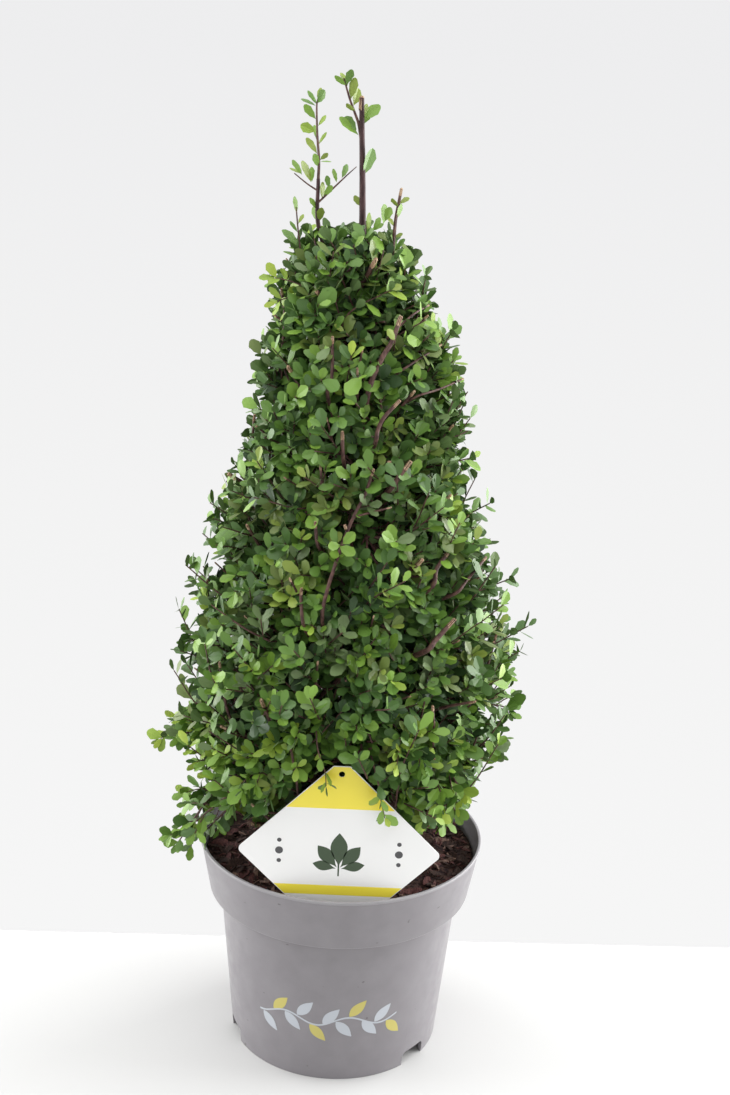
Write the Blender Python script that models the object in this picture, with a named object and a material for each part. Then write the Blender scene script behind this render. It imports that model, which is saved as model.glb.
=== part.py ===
"""A potted japanese holly, clipped to a cone, with its root ball and a plain plant label.

Metres, +Z up. The origin is the middle of the pot's flat underside, and the label is on the -Y side.
"""

import math
import random
from dataclasses import dataclass, field

import bmesh
import bpy
from mathutils import Vector, noise

GAP = 0.0003  # clearance kept between neighbouring solids
SEED = 12

# Pot: a turned shell with a deep collar, a raised floor and a notched foot.
POT_FACETS = 40
POT_HEIGHT = 0.1754
RIM_RADIUS = 0.1148
WALL = 0.0023
LIP_DROP = 0.0021
LIP_STEP = 0.0008
EDGE_BREAK = 0.0006
COLLAR_FOOT_Z = 0.1310
COLLAR_FOOT_RADIUS = 0.1063
NECK_RADIUS = 0.0975
FOOT_RADIUS = 0.0857
FLOOR_UNDERSIDE = 0.0140
FLOOR_TOP = 0.0165
HUB_RADIUS = 0.0150
DRAFT = 0.0010
NOTCH_ANGLES = (-40.0, 80.0, 200.0)
NOTCH_WIDTH = 0.0250
NOTCH_HEIGHT = 0.0118
NOTCH_CORNER = 0.0040
NOTCH_REACH = 0.0100

# Root ball: compost filling the pot to just under its rim.
SOIL_TOP = 0.1655
SOIL_EDGE = 0.1600
SOIL_FLAT_RADIUS = 0.0160

# Plant label: a square card standing on one corner, with its top corner cut off and punched.
CARD_HALF_DIAGONAL = 0.0770
CARD_CENTRE_Z = 0.2080
CARD_Y = -0.0970
CARD_THICKNESS = 0.0008
CARD_CORNER = 0.0040
CARD_SUNK_CORNER = 0.0100
CARD_TOP_Z = 0.2787
CARD_HOLE_RADIUS = 0.0023
CARD_HOLE_Z = 0.2722

# Trunk: a flared foot, a slight lean, and a thick leader cut off above the crown.
TRUNK_LINE = ((0.0035, 0.0, SOIL_TOP + GAP), (0.0035, 0.0, 0.178), (0.001, 0.002, 0.300),
              (-0.001, 0.001, 0.450), (-0.001, -0.001, 0.580), (-0.002, 0.0, 0.662), (-0.006, 0.0, 0.750))
TRUNK_RADII = (0.0105, 0.0078, 0.0068, 0.0054, 0.0038, 0.0026, 0.0019)
TRUNK_SIDES = 8

# Crown: (height, radius to the leaf tips) up the clipped cone, and how far its middle leans from the axis.
OUTLINE = ((0.192, 0.080), (0.212, 0.102), (0.245, 0.116), (0.335, 0.127), (0.380, 0.121), (0.420, 0.111),
           (0.460, 0.099), (0.510, 0.086), (0.560, 0.078), (0.600, 0.066), (0.640, 0.050), (0.665, 0.035),
           (0.676, 0.014))
LEAN = ((0.192, 0.000), (0.560, -0.001), (0.620, -0.009), (0.676, -0.014))
CROWN_FOOT = 0.187

# Tiers of foliage: name, height of the lower boundary, its tilt along X and Y, and the seams between sectors.
TIERS = (("skirt", 0.180, 0.00, 0.00, (20.0, 110.0, 200.0, 290.0)),
         ("lower", 0.322, 0.14, -0.12, (40.0, 160.0, 280.0)),
         ("middle", 0.448, -0.16, 0.12, (0.0, 120.0, 240.0)),
         ("upper", 0.566, 0.14, 0.14, (60.0, 180.0, 300.0)))
CROWN_CEILING = 0.6915
SEAM = 0.0008
CORE_SHARE = 0.62
CORE_BUMPS = 0.12
CORE_BUMP_SCALE = 30.0
CORE_INSET = 0.0008
LEADER_SEAM_INSET = 0.0030
CORE_INNER_RADIUS = 0.0150
CORE_FOOT = 0.2120
CORE_TOP = 0.6560
CORE_LEVELS = 5
CORE_ROUNDING = 0.24
LEAF_CLEARANCE = 0.0030
CORE_STEPS = 4

# Twigs and leaves: a sunflower spread of shoots over the cone, each with leaves set round it in turn.
SHOOTS = 94
CROWDING = 0.75
SHOOT_DROP = 0.40
GOLDEN_ANGLE = math.radians(137.508)
TWIG_ROOT = 0.0016
TWIG_TIP = 0.0010
STEM_RADIUS = 0.0022
STEM_TIP_RADIUS = 0.0015
STEM_COLLAR = 0.0050
LEAF_LENGTHS = (0.0250, 0.0320)
LEAF_WIDTH_SHARE = 0.60
SMALLEST_LEAF_SCALE = 0.52
FULL_LEAF_RADIUS = 0.105
LEAF_THICKNESS = 0.0012
LEAF_CUP = 0.10
LEAF_SPACING = 0.0070
LEAVES_A_SHOOT = 4
TIP_INSET = 0.0105
LEAVES_A_LONG_SHOOT = 8
LEAF_SPREAD = math.radians(60)
TIP_SPREAD = math.radians(9)
INWARD_COST = 0.030
LEAF_SINK = 0.0007
TIP_SINK = 0.0030
LONG_SHOOT_ARCH = 0.0120
FIT_TRIES = 9
LIMB_MARGIN = 0.0024
OUTLINE_SLACK = 0.0030
RIM_MARGIN = 0.0060
CARD_MARGIN = 0.0100
DROOP_FOOT = 0.1660

# Boughs that carry the skirt, and the second leader in the seam on the left.
SKIRT_BOUGH_HEIGHTS = (0.174, 0.182, 0.178, 0.186)
BOUGH_REACH = 0.046
BOUGH_RISE = 0.018
BOUGH_RADII = (0.0036, 0.0024)
LEADER_LINE = ((-0.001, 0.0, 0.592), (-0.021, 0.0, 0.628), (-0.034, 0.0, 0.662), (-0.037, 0.0, 0.693))
LEADER_RADII = (0.0022, 0.0019, 0.0017, 0.0014)

# Long shoots that stand out of the clipped cone: where each tip is.
LONG_SHOOTS = ((-0.149, -0.030, 0.262), (-0.149, -0.046, 0.172), (0.137, -0.012, 0.322),
               (0.136, -0.030, 0.262), (0.083, -0.012, 0.556), (-0.132, 0.012, 0.325), (0.030, 0.141, 0.268),
               (-0.050, 0.126, 0.318), (0.093, 0.102, 0.300), (0.022, -0.006, 0.686), (-0.050, -0.006, 0.682),
               (-0.086, 0.096, 0.250), (0.060, -0.112, 0.296), (-0.055, -0.116, 0.300))
TUFTS = (("left_leader_foliage", ((-0.0372, 0.0, 0.6936), (-0.039, 0.001, 0.724), (-0.039, 0.0, 0.7450)), 9),
         ("top_shoot_foliage", ((-0.0085, 0.0, 0.7180), (-0.0125, 0.002, 0.738), (-0.0180, 0.0, 0.7600)), 8))
TUFT_SEAM_X = -0.0240
TUFT_LEAF_SCALE = 0.62
TUFT_STEM_RADII = (0.0013, 0.0009)


@dataclass
class Space:
    """The room that one mass of foliage keeps to: the inner side of each (point, normal) plane."""

    planes: list = field(default_factory=list)

    def depth(self, point):
        """Distance from the point to the nearest boundary, negative outside."""
        return min((point - place).dot(normal) for place, normal in self.planes)


@dataclass
class Mass:
    """One mass of foliage: its space, its stem's line, its core and the shoots that it carries."""

    name: str
    space: Space
    stem: list
    core: object
    shoots: list = field(default_factory=list)
    long_shoots: list = field(default_factory=list)


# ---------------------------------------------------------------- shared helpers


def between(pairs, value):
    """Reads a list of (place, amount) pairs at a place, in straight runs."""
    for (low, start), (high, end) in zip(pairs, pairs[1:]):
        if value <= high:
            share = max(0.0, (value - low) / (high - low))
            return start + share * (end - start)
    return pairs[-1][1]


def polar(radius, angle, height):
    """A point at this radius and angle round the crown's leaning middle."""
    return Vector((between(LEAN, height) + radius * math.cos(angle), radius * math.sin(angle), height))


def material(name, colour, roughness, metallic=0.0):
    finish = bpy.data.materials.new(name)
    finish.use_nodes = True
    shader = finish.node_tree.nodes["Principled BSDF"]
    shader.inputs["Base Color"].default_value = (*colour, 1.0)
    shader.inputs["Roughness"].default_value = roughness
    shader.inputs["Metallic"].default_value = metallic
    return finish


def mesh_from(name, points, faces):
    mesh = bpy.data.meshes.new(name)
    mesh.from_pydata([tuple(point) for point in points], [], faces)
    mesh.update()
    return mesh


def place(mesh, finish, collection=None):
    """Puts a mesh in the scene as an object of the same name, with its finish."""
    piece = bpy.data.objects.new(mesh.name, mesh)
    if finish:
        mesh.materials.append(finish)
    (collection or bpy.context.scene.collection).objects.link(piece)
    return piece


def smooth(piece, angle=35.0):
    piece.data.shade_smooth()
    piece.data.set_sharp_from_angle(angle=math.radians(angle))


def turned(name, profile, facets):
    """A solid turned round Z from a closed profile of (radius, height), whose axis points become poles."""
    points, rings = [], []
    for radius, height in profile:
        count = 1 if radius == 0 else facets
        rings.append(list(range(len(points), len(points) + count)))
        for step in range(count):
            angle = 2 * math.pi * step / facets
            points.append((radius * math.cos(angle), radius * math.sin(angle), height))
    faces = []
    for lower, upper in zip(rings, rings[1:]):
        for step in range(facets):
            following = (step + 1) % facets
            corners = [lower[step % len(lower)], lower[following % len(lower)],
                       upper[following % len(upper)], upper[step % len(upper)]]
            faces.append(tuple(dict.fromkeys(corners)))
    mesh = mesh_from(name, points, [face for face in faces if len(face) > 2])
    point_outwards(mesh)
    return mesh


def point_outwards(mesh):
    work = bmesh.new()
    work.from_mesh(mesh)
    bmesh.ops.recalc_face_normals(work, faces=work.faces)
    work.to_mesh(mesh)
    work.free()


def tube(name, line, radii, sides):
    """A closed tapering tube along a line of points."""
    line = [Vector(point) for point in line]
    points, faces = [], []
    across = (line[1] - line[0]).orthogonal().normalized()
    for index, centre in enumerate(line):
        ahead = (line[min(index + 1, len(line) - 1)] - line[max(index - 1, 0)]).normalized()
        across = (across - across.dot(ahead) * ahead).normalized()
        other = ahead.cross(across)
        for step in range(sides):
            angle = 2 * math.pi * step / sides
            points.append(centre + radii[index] * (math.cos(angle) * across + math.sin(angle) * other))
    for ring in range(len(line) - 1):
        for step in range(sides):
            following = (step + 1) % sides
            low, high = ring * sides, (ring + 1) * sides
            faces.append((low + step, low + following, high + following, high + step))
    faces.append(tuple(reversed(range(sides))))
    faces.append(tuple(range(len(points) - sides, len(points))))
    return mesh_from(name, points, faces)


def extruded(name, outline, low_y, high_y):
    """A closed plate whose outline, a list of (x, z), lies between two Y planes."""
    count = len(outline)
    points = [(x, low_y, z) for x, z in outline] + [(x, high_y, z) for x, z in outline]
    faces = [tuple(range(count)), tuple(reversed(range(count, 2 * count)))]
    faces += [(step, (step + 1) % count, count + (step + 1) % count, count + step) for step in range(count)]
    mesh = mesh_from(name, points, faces)
    point_outwards(mesh)
    return mesh


def rounded(corners, radii, steps=3):
    """An outline whose corners are arcs of the given radii; a radius of zero stays sharp."""
    outline = []
    for index, corner in enumerate(corners):
        corner = Vector(corner)
        before = (Vector(corners[index - 1]) - corner).normalized()
        after = (Vector(corners[(index + 1) % len(corners)]) - corner).normalized()
        half = before.angle(after) / 2
        if not radii[index]:
            outline.append(tuple(corner))
            continue
        centre = corner + (before + after).normalized() * (radii[index] / math.sin(half))
        start = corner + before * (radii[index] / math.tan(half)) - centre
        end = corner + after * (radii[index] / math.tan(half)) - centre
        sweep = start.angle(end)
        for step in range(steps + 1):
            share = step / steps
            arm = start * math.sin((1 - share) * sweep) + end * math.sin(share * sweep)
            outline.append(tuple(centre + arm / math.sin(sweep)))
    return outline


def cut(piece, cutter, name):
    """Cuts a hidden helper's shape out of a piece."""
    cutter.hide_render = True
    cutter.display_type = "WIRE"
    modifier = piece.modifiers.new(name, "BOOLEAN")
    modifier.operation = "DIFFERENCE"
    modifier.object = cutter
    modifier.solver = "EXACT"


# ---------------------------------------------------------------- pot, root ball and label


def pot_profile():
    """The pot's closed profile, from the middle of its underside out, up and back in."""
    inner_foot, shelf, lip = FOOT_RADIUS - WALL, COLLAR_FOOT_Z + WALL, POT_HEIGHT - LIP_DROP
    return [(0.0, 0.0), (HUB_RADIUS, 0.0), (HUB_RADIUS + DRAFT, FLOOR_UNDERSIDE),
            (inner_foot - DRAFT, FLOOR_UNDERSIDE), (inner_foot, 0.0), (FOOT_RADIUS, 0.0),
            (NECK_RADIUS, COLLAR_FOOT_Z), (COLLAR_FOOT_RADIUS - EDGE_BREAK, COLLAR_FOOT_Z),
            (COLLAR_FOOT_RADIUS, COLLAR_FOOT_Z + EDGE_BREAK), (RIM_RADIUS - LIP_STEP, lip - LIP_STEP),
            (RIM_RADIUS, lip), (RIM_RADIUS, POT_HEIGHT - EDGE_BREAK), (RIM_RADIUS - EDGE_BREAK, POT_HEIGHT),
            (RIM_RADIUS - WALL + EDGE_BREAK, POT_HEIGHT), (RIM_RADIUS - WALL, POT_HEIGHT - EDGE_BREAK),
            (collar_inside(shelf), shelf), (NECK_RADIUS - WALL, shelf), (inner_foot + EDGE_BREAK, FLOOR_TOP),
            (0.0, FLOOR_TOP)]


def collar_inside(height):
    """Inner radius of the collar's wall at a height."""
    share = (height - COLLAR_FOOT_Z) / (POT_HEIGHT - COLLAR_FOOT_Z)
    return COLLAR_FOOT_RADIUS - WALL + share * (RIM_RADIUS - COLLAR_FOOT_RADIUS)


def build_pot(finish):
    pot = place(turned("pot", pot_profile(), POT_FACETS), finish)
    half, below = NOTCH_WIDTH / 2, -NOTCH_CORNER
    corners = ((-half, below), (half, below), (half, NOTCH_HEIGHT), (-half, NOTCH_HEIGHT))
    outline = rounded(corners, (0, 0, NOTCH_CORNER, NOTCH_CORNER))
    for angle in NOTCH_ANGLES:
        low_y, high_y = -FOOT_RADIUS - NOTCH_REACH, NOTCH_REACH - FOOT_RADIUS
        cutter = place(extruded(f"notch_cutter_{angle:.0f}", outline, low_y, high_y), None)
        cutter.rotation_euler.z = math.radians(angle + 90)
        cut(pot, cutter, "Foot notch")
    smooth(pot)
    return pot


def build_soil(finish, card_cutter):
    shelf = COLLAR_FOOT_Z + WALL + GAP
    foot = FOOT_RADIUS - WALL + EDGE_BREAK - GAP
    edge = collar_inside(SOIL_EDGE) - 2 * GAP
    rise = SOIL_TOP - SOIL_EDGE
    mound = [(edge + (SOIL_FLAT_RADIUS - edge) * share, SOIL_EDGE + rise * (2 - share) * share)
             for share in (0.0, 0.15, 0.4, 0.7, 1.0)]
    profile = [(0.0, FLOOR_TOP + GAP), (foot, FLOOR_TOP + GAP), (NECK_RADIUS - WALL - GAP, shelf),
               (collar_inside(shelf) - 2 * GAP, shelf), *mound, (0.0, SOIL_TOP)]
    soil = place(turned("root_ball", profile, POT_FACETS), finish)
    cut(soil, card_cutter, "Label slot")
    smooth(soil, 50.0)
    return soil


def card_outline(grow):
    """Outline of the label, or of the slot that clears it by the given margin."""
    reach = CARD_HALF_DIAGONAL + grow * math.sqrt(2)
    top = CARD_TOP_Z + grow
    half_top = CARD_CENTRE_Z + reach - top
    corners = ((0.0, CARD_CENTRE_Z - reach), (reach, CARD_CENTRE_Z), (half_top, top), (-half_top, top),
               (-reach, CARD_CENTRE_Z))
    return rounded(corners, (CARD_SUNK_CORNER, CARD_CORNER, 0.0015, 0.0015, CARD_CORNER))


def build_label(finish):
    half = CARD_THICKNESS / 2
    label = place(extruded("plant_label", card_outline(0.0), CARD_Y - half, CARD_Y + half), finish)
    hole = [(CARD_HOLE_RADIUS * math.cos(2 * math.pi * step / 12),
             CARD_HOLE_Z + CARD_HOLE_RADIUS * math.sin(2 * math.pi * step / 12)) for step in range(12)]
    punch = place(extruded("label_hole_cutter", hole, CARD_Y - 0.01, CARD_Y + 0.01), None)
    cut(label, punch, "Hanging hole")
    return label


def card_slot_cutter():
    half = CARD_THICKNESS / 2 + GAP
    return place(extruded("label_slot_cutter", card_outline(GAP), CARD_Y - half, CARD_Y + half), None)


# ---------------------------------------------------------------- trunk and boughs


def trunk_point(height):
    """Centre of the trunk at a height."""
    return Vector((between([(p[2], p[0]) for p in TRUNK_LINE], height),
                   between([(p[2], p[1]) for p in TRUNK_LINE], height), height))


def trunk_radius(height):
    return between([(p[2], r) for p, r in zip(TRUNK_LINE, TRUNK_RADII)], height)


def bough_line(angle, height):
    """A skirt bough's line, which leaves the trunk and rises outwards in a slow curve."""
    start = trunk_point(height)
    side = Vector((math.cos(angle), math.sin(angle), 0.0))
    steps = 4
    return [start + side * (BOUGH_REACH * share) + Vector((0, 0, BOUGH_RISE * share ** 1.3))
            for share in (step / steps for step in range(steps + 1))]


def tapering(radii, count):
    return [radii[0] + (radii[-1] - radii[0]) * step / (count - 1) for step in range(count)]


def limb_segments(line, radii):
    """The limb as (start, end, radius) pieces, for keeping leaves off it."""
    line = [Vector(point) for point in line]
    return [(line[i], line[i + 1], max(radii[i], radii[i + 1])) for i in range(len(line) - 1)]


def segment_distance(point, start, end):
    run = end - start
    share = min(1.0, max(0.0, (point - start).dot(run) / run.length_squared))
    return (point - start - share * run).length


def build_limbs(finish):
    """Makes the trunk, the skirt's boughs and the second leader, and returns (limb pieces, bough lines)."""
    trunk = place(tube("trunk", TRUNK_LINE, TRUNK_RADII, TRUNK_SIDES), finish)
    smooth(trunk, 60.0)
    clear = [radius + GAP / math.cos(math.pi / TRUNK_SIDES) + 0.0001 for radius in TRUNK_RADII]
    cutter = place(tube("trunk_cutter", TRUNK_LINE, clear, TRUNK_SIDES), None)
    limbs = limb_segments(TRUNK_LINE, TRUNK_RADII)
    lines = []
    seams = TIERS[0][4]
    for index, height in enumerate(SKIRT_BOUGH_HEIGHTS):
        line = bough_line(math.radians(seams[index] + 45.0), height)
        radii = tapering(BOUGH_RADII, len(line))
        bough = place(tube(f"bough_{index + 1}", line, radii, 6), finish)
        cut(bough, cutter, "Clear of trunk")
        smooth(bough, 70.0)
        limbs += limb_segments(line, radii)
        lines.append(line)
    leader = place(tube("left_leader", LEADER_LINE, LEADER_RADII, 6), finish)
    cut(leader, cutter, "Clear of trunk")
    smooth(leader, 70.0)
    limbs += limb_segments(LEADER_LINE, LEADER_RADII)
    return limbs, lines


# ---------------------------------------------------------------- foliage


def tier_planes(tier):
    """Planes that bound a tier from below and above."""
    bounds = []
    for index, side in ((tier, 1), (tier + 1, -1)):
        if index < len(TIERS):
            _, height, tilt_x, tilt_y, _ = TIERS[index]
        else:
            height, tilt_x, tilt_y = CROWN_CEILING, 0.0, 0.0
        normal = Vector((-tilt_x, -tilt_y, 1.0)).normalized() * side
        bounds.append((Vector((0, 0, height)) + normal * SEAM / 2, normal))
    return bounds


def boundary_height(index, x, y):
    if index >= len(TIERS):
        return CROWN_CEILING
    _, height, tilt_x, tilt_y, _ = TIERS[index]
    return height + tilt_x * x + tilt_y * y


def sector_planes(start, end):
    planes = []
    for angle, side in ((start, 1), (end, -1)):
        normal = Vector((-math.sin(angle), math.cos(angle), 0.0)) * side
        planes.append((normal * SEAM / 2, normal))
    return planes


def core_mesh(name, tier, start, end):
    """The dense inside of a mass: a wedge round the trunk's channel, inside its space on every side."""
    rows = []
    for level in range(CORE_LEVELS):
        share = level / (CORE_LEVELS - 1)
        row = []
        for step in range(CORE_STEPS + 3):
            outer = step <= CORE_STEPS
            turn = step / CORE_STEPS if outer else (1.0 if step == CORE_STEPS + 1 else 0.0)
            row.append(core_point(tier, start, end, share, turn, outer))
        rows.append(row)
    count = len(rows[0])
    points = [point for row in rows for point in row]
    faces = [tuple(reversed(range(count))), tuple(range(len(points) - count, len(points)))]
    for level in range(CORE_LEVELS - 1):
        for step in range(count):
            low, high, following = level * count, (level + 1) * count, (step + 1) % count
            faces.append((low + step, low + following, high + following, high + step))
    mesh = mesh_from(name, points, faces)
    point_outwards(mesh)
    return mesh


def core_point(tier, start, end, share, turn, outer):
    """One corner of a core, at a share of its height and a turn across its sector."""
    middle = start + turn * (end - start)
    guess = 0.5 * (TIERS[tier][1] + (TIERS[tier + 1][1] if tier + 1 < len(TIERS) else CORE_TOP))
    radius = CORE_SHARE * between(OUTLINE, guess)
    for _ in range(3):
        x, y = radius * math.cos(middle), radius * math.sin(middle)
        low = max(boundary_height(tier, x, y) + CORE_INSET, CORE_FOOT)
        high = min(boundary_height(tier + 1, x, y) - CORE_INSET, CORE_TOP)
        height = low + share * (high - low)
        bump = CORE_BUMPS * noise.noise(Vector((x, y, height)) * CORE_BUMP_SCALE)
        swell = 1.0 - CORE_ROUNDING * (2 * share - 1) ** 4
        radius = between(OUTLINE, height) * (CORE_SHARE + bump) * swell if outer else CORE_INNER_RADIUS
    inset = math.asin((LEADER_SEAM_INSET if tier == len(TIERS) - 1 else CORE_INSET) / radius)
    angle = start + inset + turn * (end - start - 2 * inset)
    return Vector((radius * math.cos(angle), radius * math.sin(angle), height))


def leaf_shape(root, ahead, facing, length):
    """A leaf of eight faces: a cupped diamond with its widest place past the middle, its root sunk back."""
    ahead = ahead.normalized()
    facing = (facing - facing.dot(ahead) * ahead).normalized()
    across = ahead.cross(facing)
    half_width = 0.5 * LEAF_WIDTH_SHARE * length
    widest = root + 0.54 * length * ahead + LEAF_CUP * length * facing
    points = [root, widest - half_width * across, root + length * ahead, widest + half_width * across,
              root + 0.5 * length * ahead + 0.5 * LEAF_THICKNESS * facing,
              root + 0.5 * length * ahead - 0.5 * LEAF_THICKNESS * facing]
    faces = [(1, 0, 4), (2, 1, 4), (3, 2, 4), (0, 3, 4), (0, 1, 5), (1, 2, 5), (2, 3, 5), (3, 0, 5)]
    return points, faces


def fits(points, mass, limbs, long_shoot):
    """Whether a leaf or twig stays in its space and the crown's outline, and off pot, label and limbs."""
    for point in points:
        if mass.space.depth(point) < 0.0:
            return False
        radius = math.hypot(point.x - between(LEAN, point.z), point.y)
        if not long_shoot and radius > between(OUTLINE, point.z) + OUTLINE_SLACK:
            return False
        over_pot = math.hypot(point.x, point.y) < RIM_RADIUS + RIM_MARGIN
        if point.z < (CROWN_FOOT if over_pot else DROOP_FOOT):
            return False
        beside_card = abs(point.x) + abs(point.z - CARD_CENTRE_Z) < CARD_HALF_DIAGONAL + CARD_MARGIN
        if beside_card and point.y < CARD_Y + CARD_MARGIN / 2:
            return False
        for start, end, limb in limbs:
            if segment_distance(point, start, end) < limb + LIMB_MARGIN:
                return False
    return True


def buried(point):
    """Whether a leaf's middle would lie inside the core of its mass."""
    radius = math.hypot(point.x - between(LEAN, point.z), point.y)
    return CORE_FOOT < point.z < CORE_TOP and radius < CORE_SHARE * between(OUTLINE, point.z) + LEAF_CLEARANCE


def spaced(points):
    """The points with one more halfway along each side of the leaf."""
    return list(points) + [(points[i] + points[(i + 1) % 4]) / 2 for i in range(4)]


def shoot_points():
    """Shoot tips spread evenly over the cone by area, turning by the golden angle."""
    heights = [OUTLINE[0][0] + (OUTLINE[-1][0] - OUTLINE[0][0]) * step / 200 for step in range(201)]
    areas = [0.0]
    for height in heights[1:]:
        areas.append(areas[-1] + between(OUTLINE, height) ** CROWDING)
    pairs = list(zip(areas, heights))
    for index in range(SHOOTS):
        height = between(pairs, areas[-1] * (index + 0.5) / SHOOTS)
        yield polar(between(OUTLINE, height) - TIP_INSET, index * GOLDEN_ANGLE, height)


def behind(line, back):
    """The point this far back from the end of a line of points."""
    for end, start in zip(reversed(line), reversed(line[:-1])):
        run = (end - start).length
        if back <= run:
            return end.lerp(start, back / run)
        back -= run
    return line[0]


def set_leaves(mass, line, count, spacing, scale, limbs, rng, parts, centres, free=False):
    """Sets leaves in turn round the end of a twig, each where it fits and stands furthest from the others."""
    ahead = (line[-1] - line[-2]).normalized()
    tip = line[-1]
    outward = Vector((tip.x, tip.y, 0.35 * math.hypot(tip.x, tip.y) + 0.01)).normalized()
    across = ahead.orthogonal().normalized()
    other = ahead.cross(across)
    turn = rng.uniform(0, 2 * math.pi)
    leaves = 0
    for number in range(count):
        turn += GOLDEN_ANGLE
        best = None
        for attempt in range(FIT_TRIES):
            roll = turn + rng.uniform(-0.3, 0.3) * attempt
            spread = TIP_SPREAD if number == 0 else LEAF_SPREAD * rng.uniform(0.75, 1.25)
            side = math.cos(roll) * across + math.sin(roll) * other
            heading = math.cos(spread) * ahead + math.sin(spread) * side
            length = scale * rng.uniform(*LEAF_LENGTHS) * (1.0 - 0.04 * attempt)
            root = behind(line, number * spacing) - (TIP_SINK if number == 0 else LEAF_SINK) * heading
            jitter = Vector([rng.uniform(-1, 1) for _ in range(3)])
            points, faces = leaf_shape(root, heading, outward + 0.3 * jitter - 0.3 * side, length)
            if buried(points[4]):
                continue
            room = min([(points[4] - centre).length for centre in centres], default=0.0)
            room += INWARD_COST * min(0.0, heading.dot(outward))
            if (best is None or room > best[0]) and fits(spaced(points), mass, limbs, free):
                best = (room, points, faces)
        if best:
            parts.append(mesh_from("leaf", best[1], best[2]))
            centres.append(best[1][4])
            leaves += 1
    return leaves


def grow_shoot(mass, tip, limbs, rng, parts, centres, long_shoot=False):
    """Grows one twig from the mass's stem to its tip, with leaves round its outer end."""
    low, high = mass.stem[1].z, mass.stem[-1].z
    share = min(1.0, max(0.15, (tip.z - low) / max(high - low, 0.02) - SHOOT_DROP))
    start = mass.stem[1].lerp(mass.stem[-1], share)
    line, count = [start, tip], LEAVES_A_SHOOT
    if long_shoot:
        line.insert(1, start.lerp(tip, 0.62) + Vector((0, 0, LONG_SHOOT_ARCH)))
        count = LEAVES_A_LONG_SHOOT
    run = [line[-2].lerp(tip, step / 10) for step in range(3, 11)]
    if not fits(run, mass, limbs, True):
        return 0
    parts.append(tube("twig", line, tapering((TWIG_ROOT, TWIG_TIP), len(line)), 3))
    fullness = min(1.0, between(OUTLINE, tip.z) / FULL_LEAF_RADIUS)
    scale = SMALLEST_LEAF_SCALE + (1.0 - SMALLEST_LEAF_SCALE) * fullness
    return set_leaves(mass, line, count, LEAF_SPACING * scale, scale, limbs, rng, parts, centres, long_shoot)


def shells(mesh):
    """The closed shells of a mesh, as (signed volume, face indices), biggest first.

    Shells that only touch along an edge, where four faces meet, count as separate.
    """
    work = bmesh.new()
    work.from_mesh(mesh)
    work.faces.ensure_lookup_table()
    seen, found = set(), []
    for seed in work.faces:
        if seed.index in seen:
            continue
        stack, shell = [seed], []
        seen.add(seed.index)
        while stack:
            face = stack.pop()
            shell.append(face.index)
            for edge in face.edges:
                if len(edge.link_faces) != 2:
                    continue
                for neighbour in edge.link_faces:
                    if neighbour.index not in seen:
                        seen.add(neighbour.index)
                        stack.append(neighbour)
        volume = 0.0
        for index in shell:
            corners = [vertex.co for vertex in work.faces[index].verts]
            for first, second in zip(corners[1:], corners[2:]):
                volume += corners[0].dot(first.cross(second)) / 6
        found.append((volume, shell))
    work.free()
    return sorted(found, reverse=True)


def keep_body(mesh):
    """Keeps the main outer shell: fills hollows sealed by fusing and drops loose scraps."""
    found = shells(mesh)
    doomed = {index for _, shell in found[1:] for index in shell}
    if doomed:
        work = bmesh.new()
        work.from_mesh(mesh)
        work.faces.ensure_lookup_table()
        bmesh.ops.delete(work, geom=[work.faces[index] for index in doomed], context="FACES")
        work.to_mesh(mesh)
        work.free()
    return len(found) - 1


def fused(name, parts, finish):
    """Joins closed meshes into one with a single Boolean union, and removes what it was made from."""
    helpers = bpy.data.collections.new(name + "_parts")
    bpy.context.scene.collection.children.link(helpers)
    base = place(parts[0].copy(), None)
    pieces = [place(part, None, helpers) for part in parts[1:]]
    modifier = base.modifiers.new("Join", "BOOLEAN")
    modifier.operation = "UNION"
    modifier.operand_type = "COLLECTION"
    modifier.collection = helpers
    modifier.solver = "MANIFOLD"
    graph = bpy.context.evaluated_depsgraph_get()
    mesh = bpy.data.meshes.new_from_object(base.evaluated_get(graph))
    for piece in pieces + [base]:
        bpy.data.objects.remove(piece, do_unlink=True)
    bpy.data.collections.remove(helpers)
    scraps = keep_body(mesh)
    mesh.name = name
    mesh.materials.clear()
    joined = place(mesh, finish)
    print(f"{name}: {len(parts)} pieces, {sum(len(p.vertices) - 2 for p in mesh.polygons)} triangles, "
          f"{scraps} scraps")
    return joined


def crown_masses(lines):
    """Lays out the tiers and sectors of the crown with their spaces, stems and cores."""
    masses = []
    for tier, (title, low, _, _, seams) in enumerate(TIERS):
        high = TIERS[tier + 1][1] if tier + 1 < len(TIERS) else CORE_TOP
        for index, seam in enumerate(seams):
            start = math.radians(seam)
            end = math.radians(seams[(index + 1) % len(seams)])
            end += 2 * math.pi if end < start else 0.0
            name = f"{title}_foliage_{index + 1}"
            space = Space(tier_planes(tier) + sector_planes(start, end))
            middle = (start + end) / 2
            heart = polar(0.50 * between(OUTLINE, (low + high) / 2), middle, low + 0.62 * (high - low))
            if tier == 0:
                ahead = (lines[index][-1] - lines[index][-2]).normalized()
                root = lines[index][-1] + ahead * GAP
            else:
                foot = trunk_point(low + 0.30 * (high - low))
                clear = trunk_radius(foot.z) + GAP
                ahead = Vector((math.cos(middle), math.sin(middle), 0.0))
                root = foot + clear * ahead
            stem = [root, root + ahead * STEM_COLLAR, heart]
            masses.append(Mass(name, space, stem, core_mesh(name + "_core", tier, start, end)))
    return masses


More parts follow.
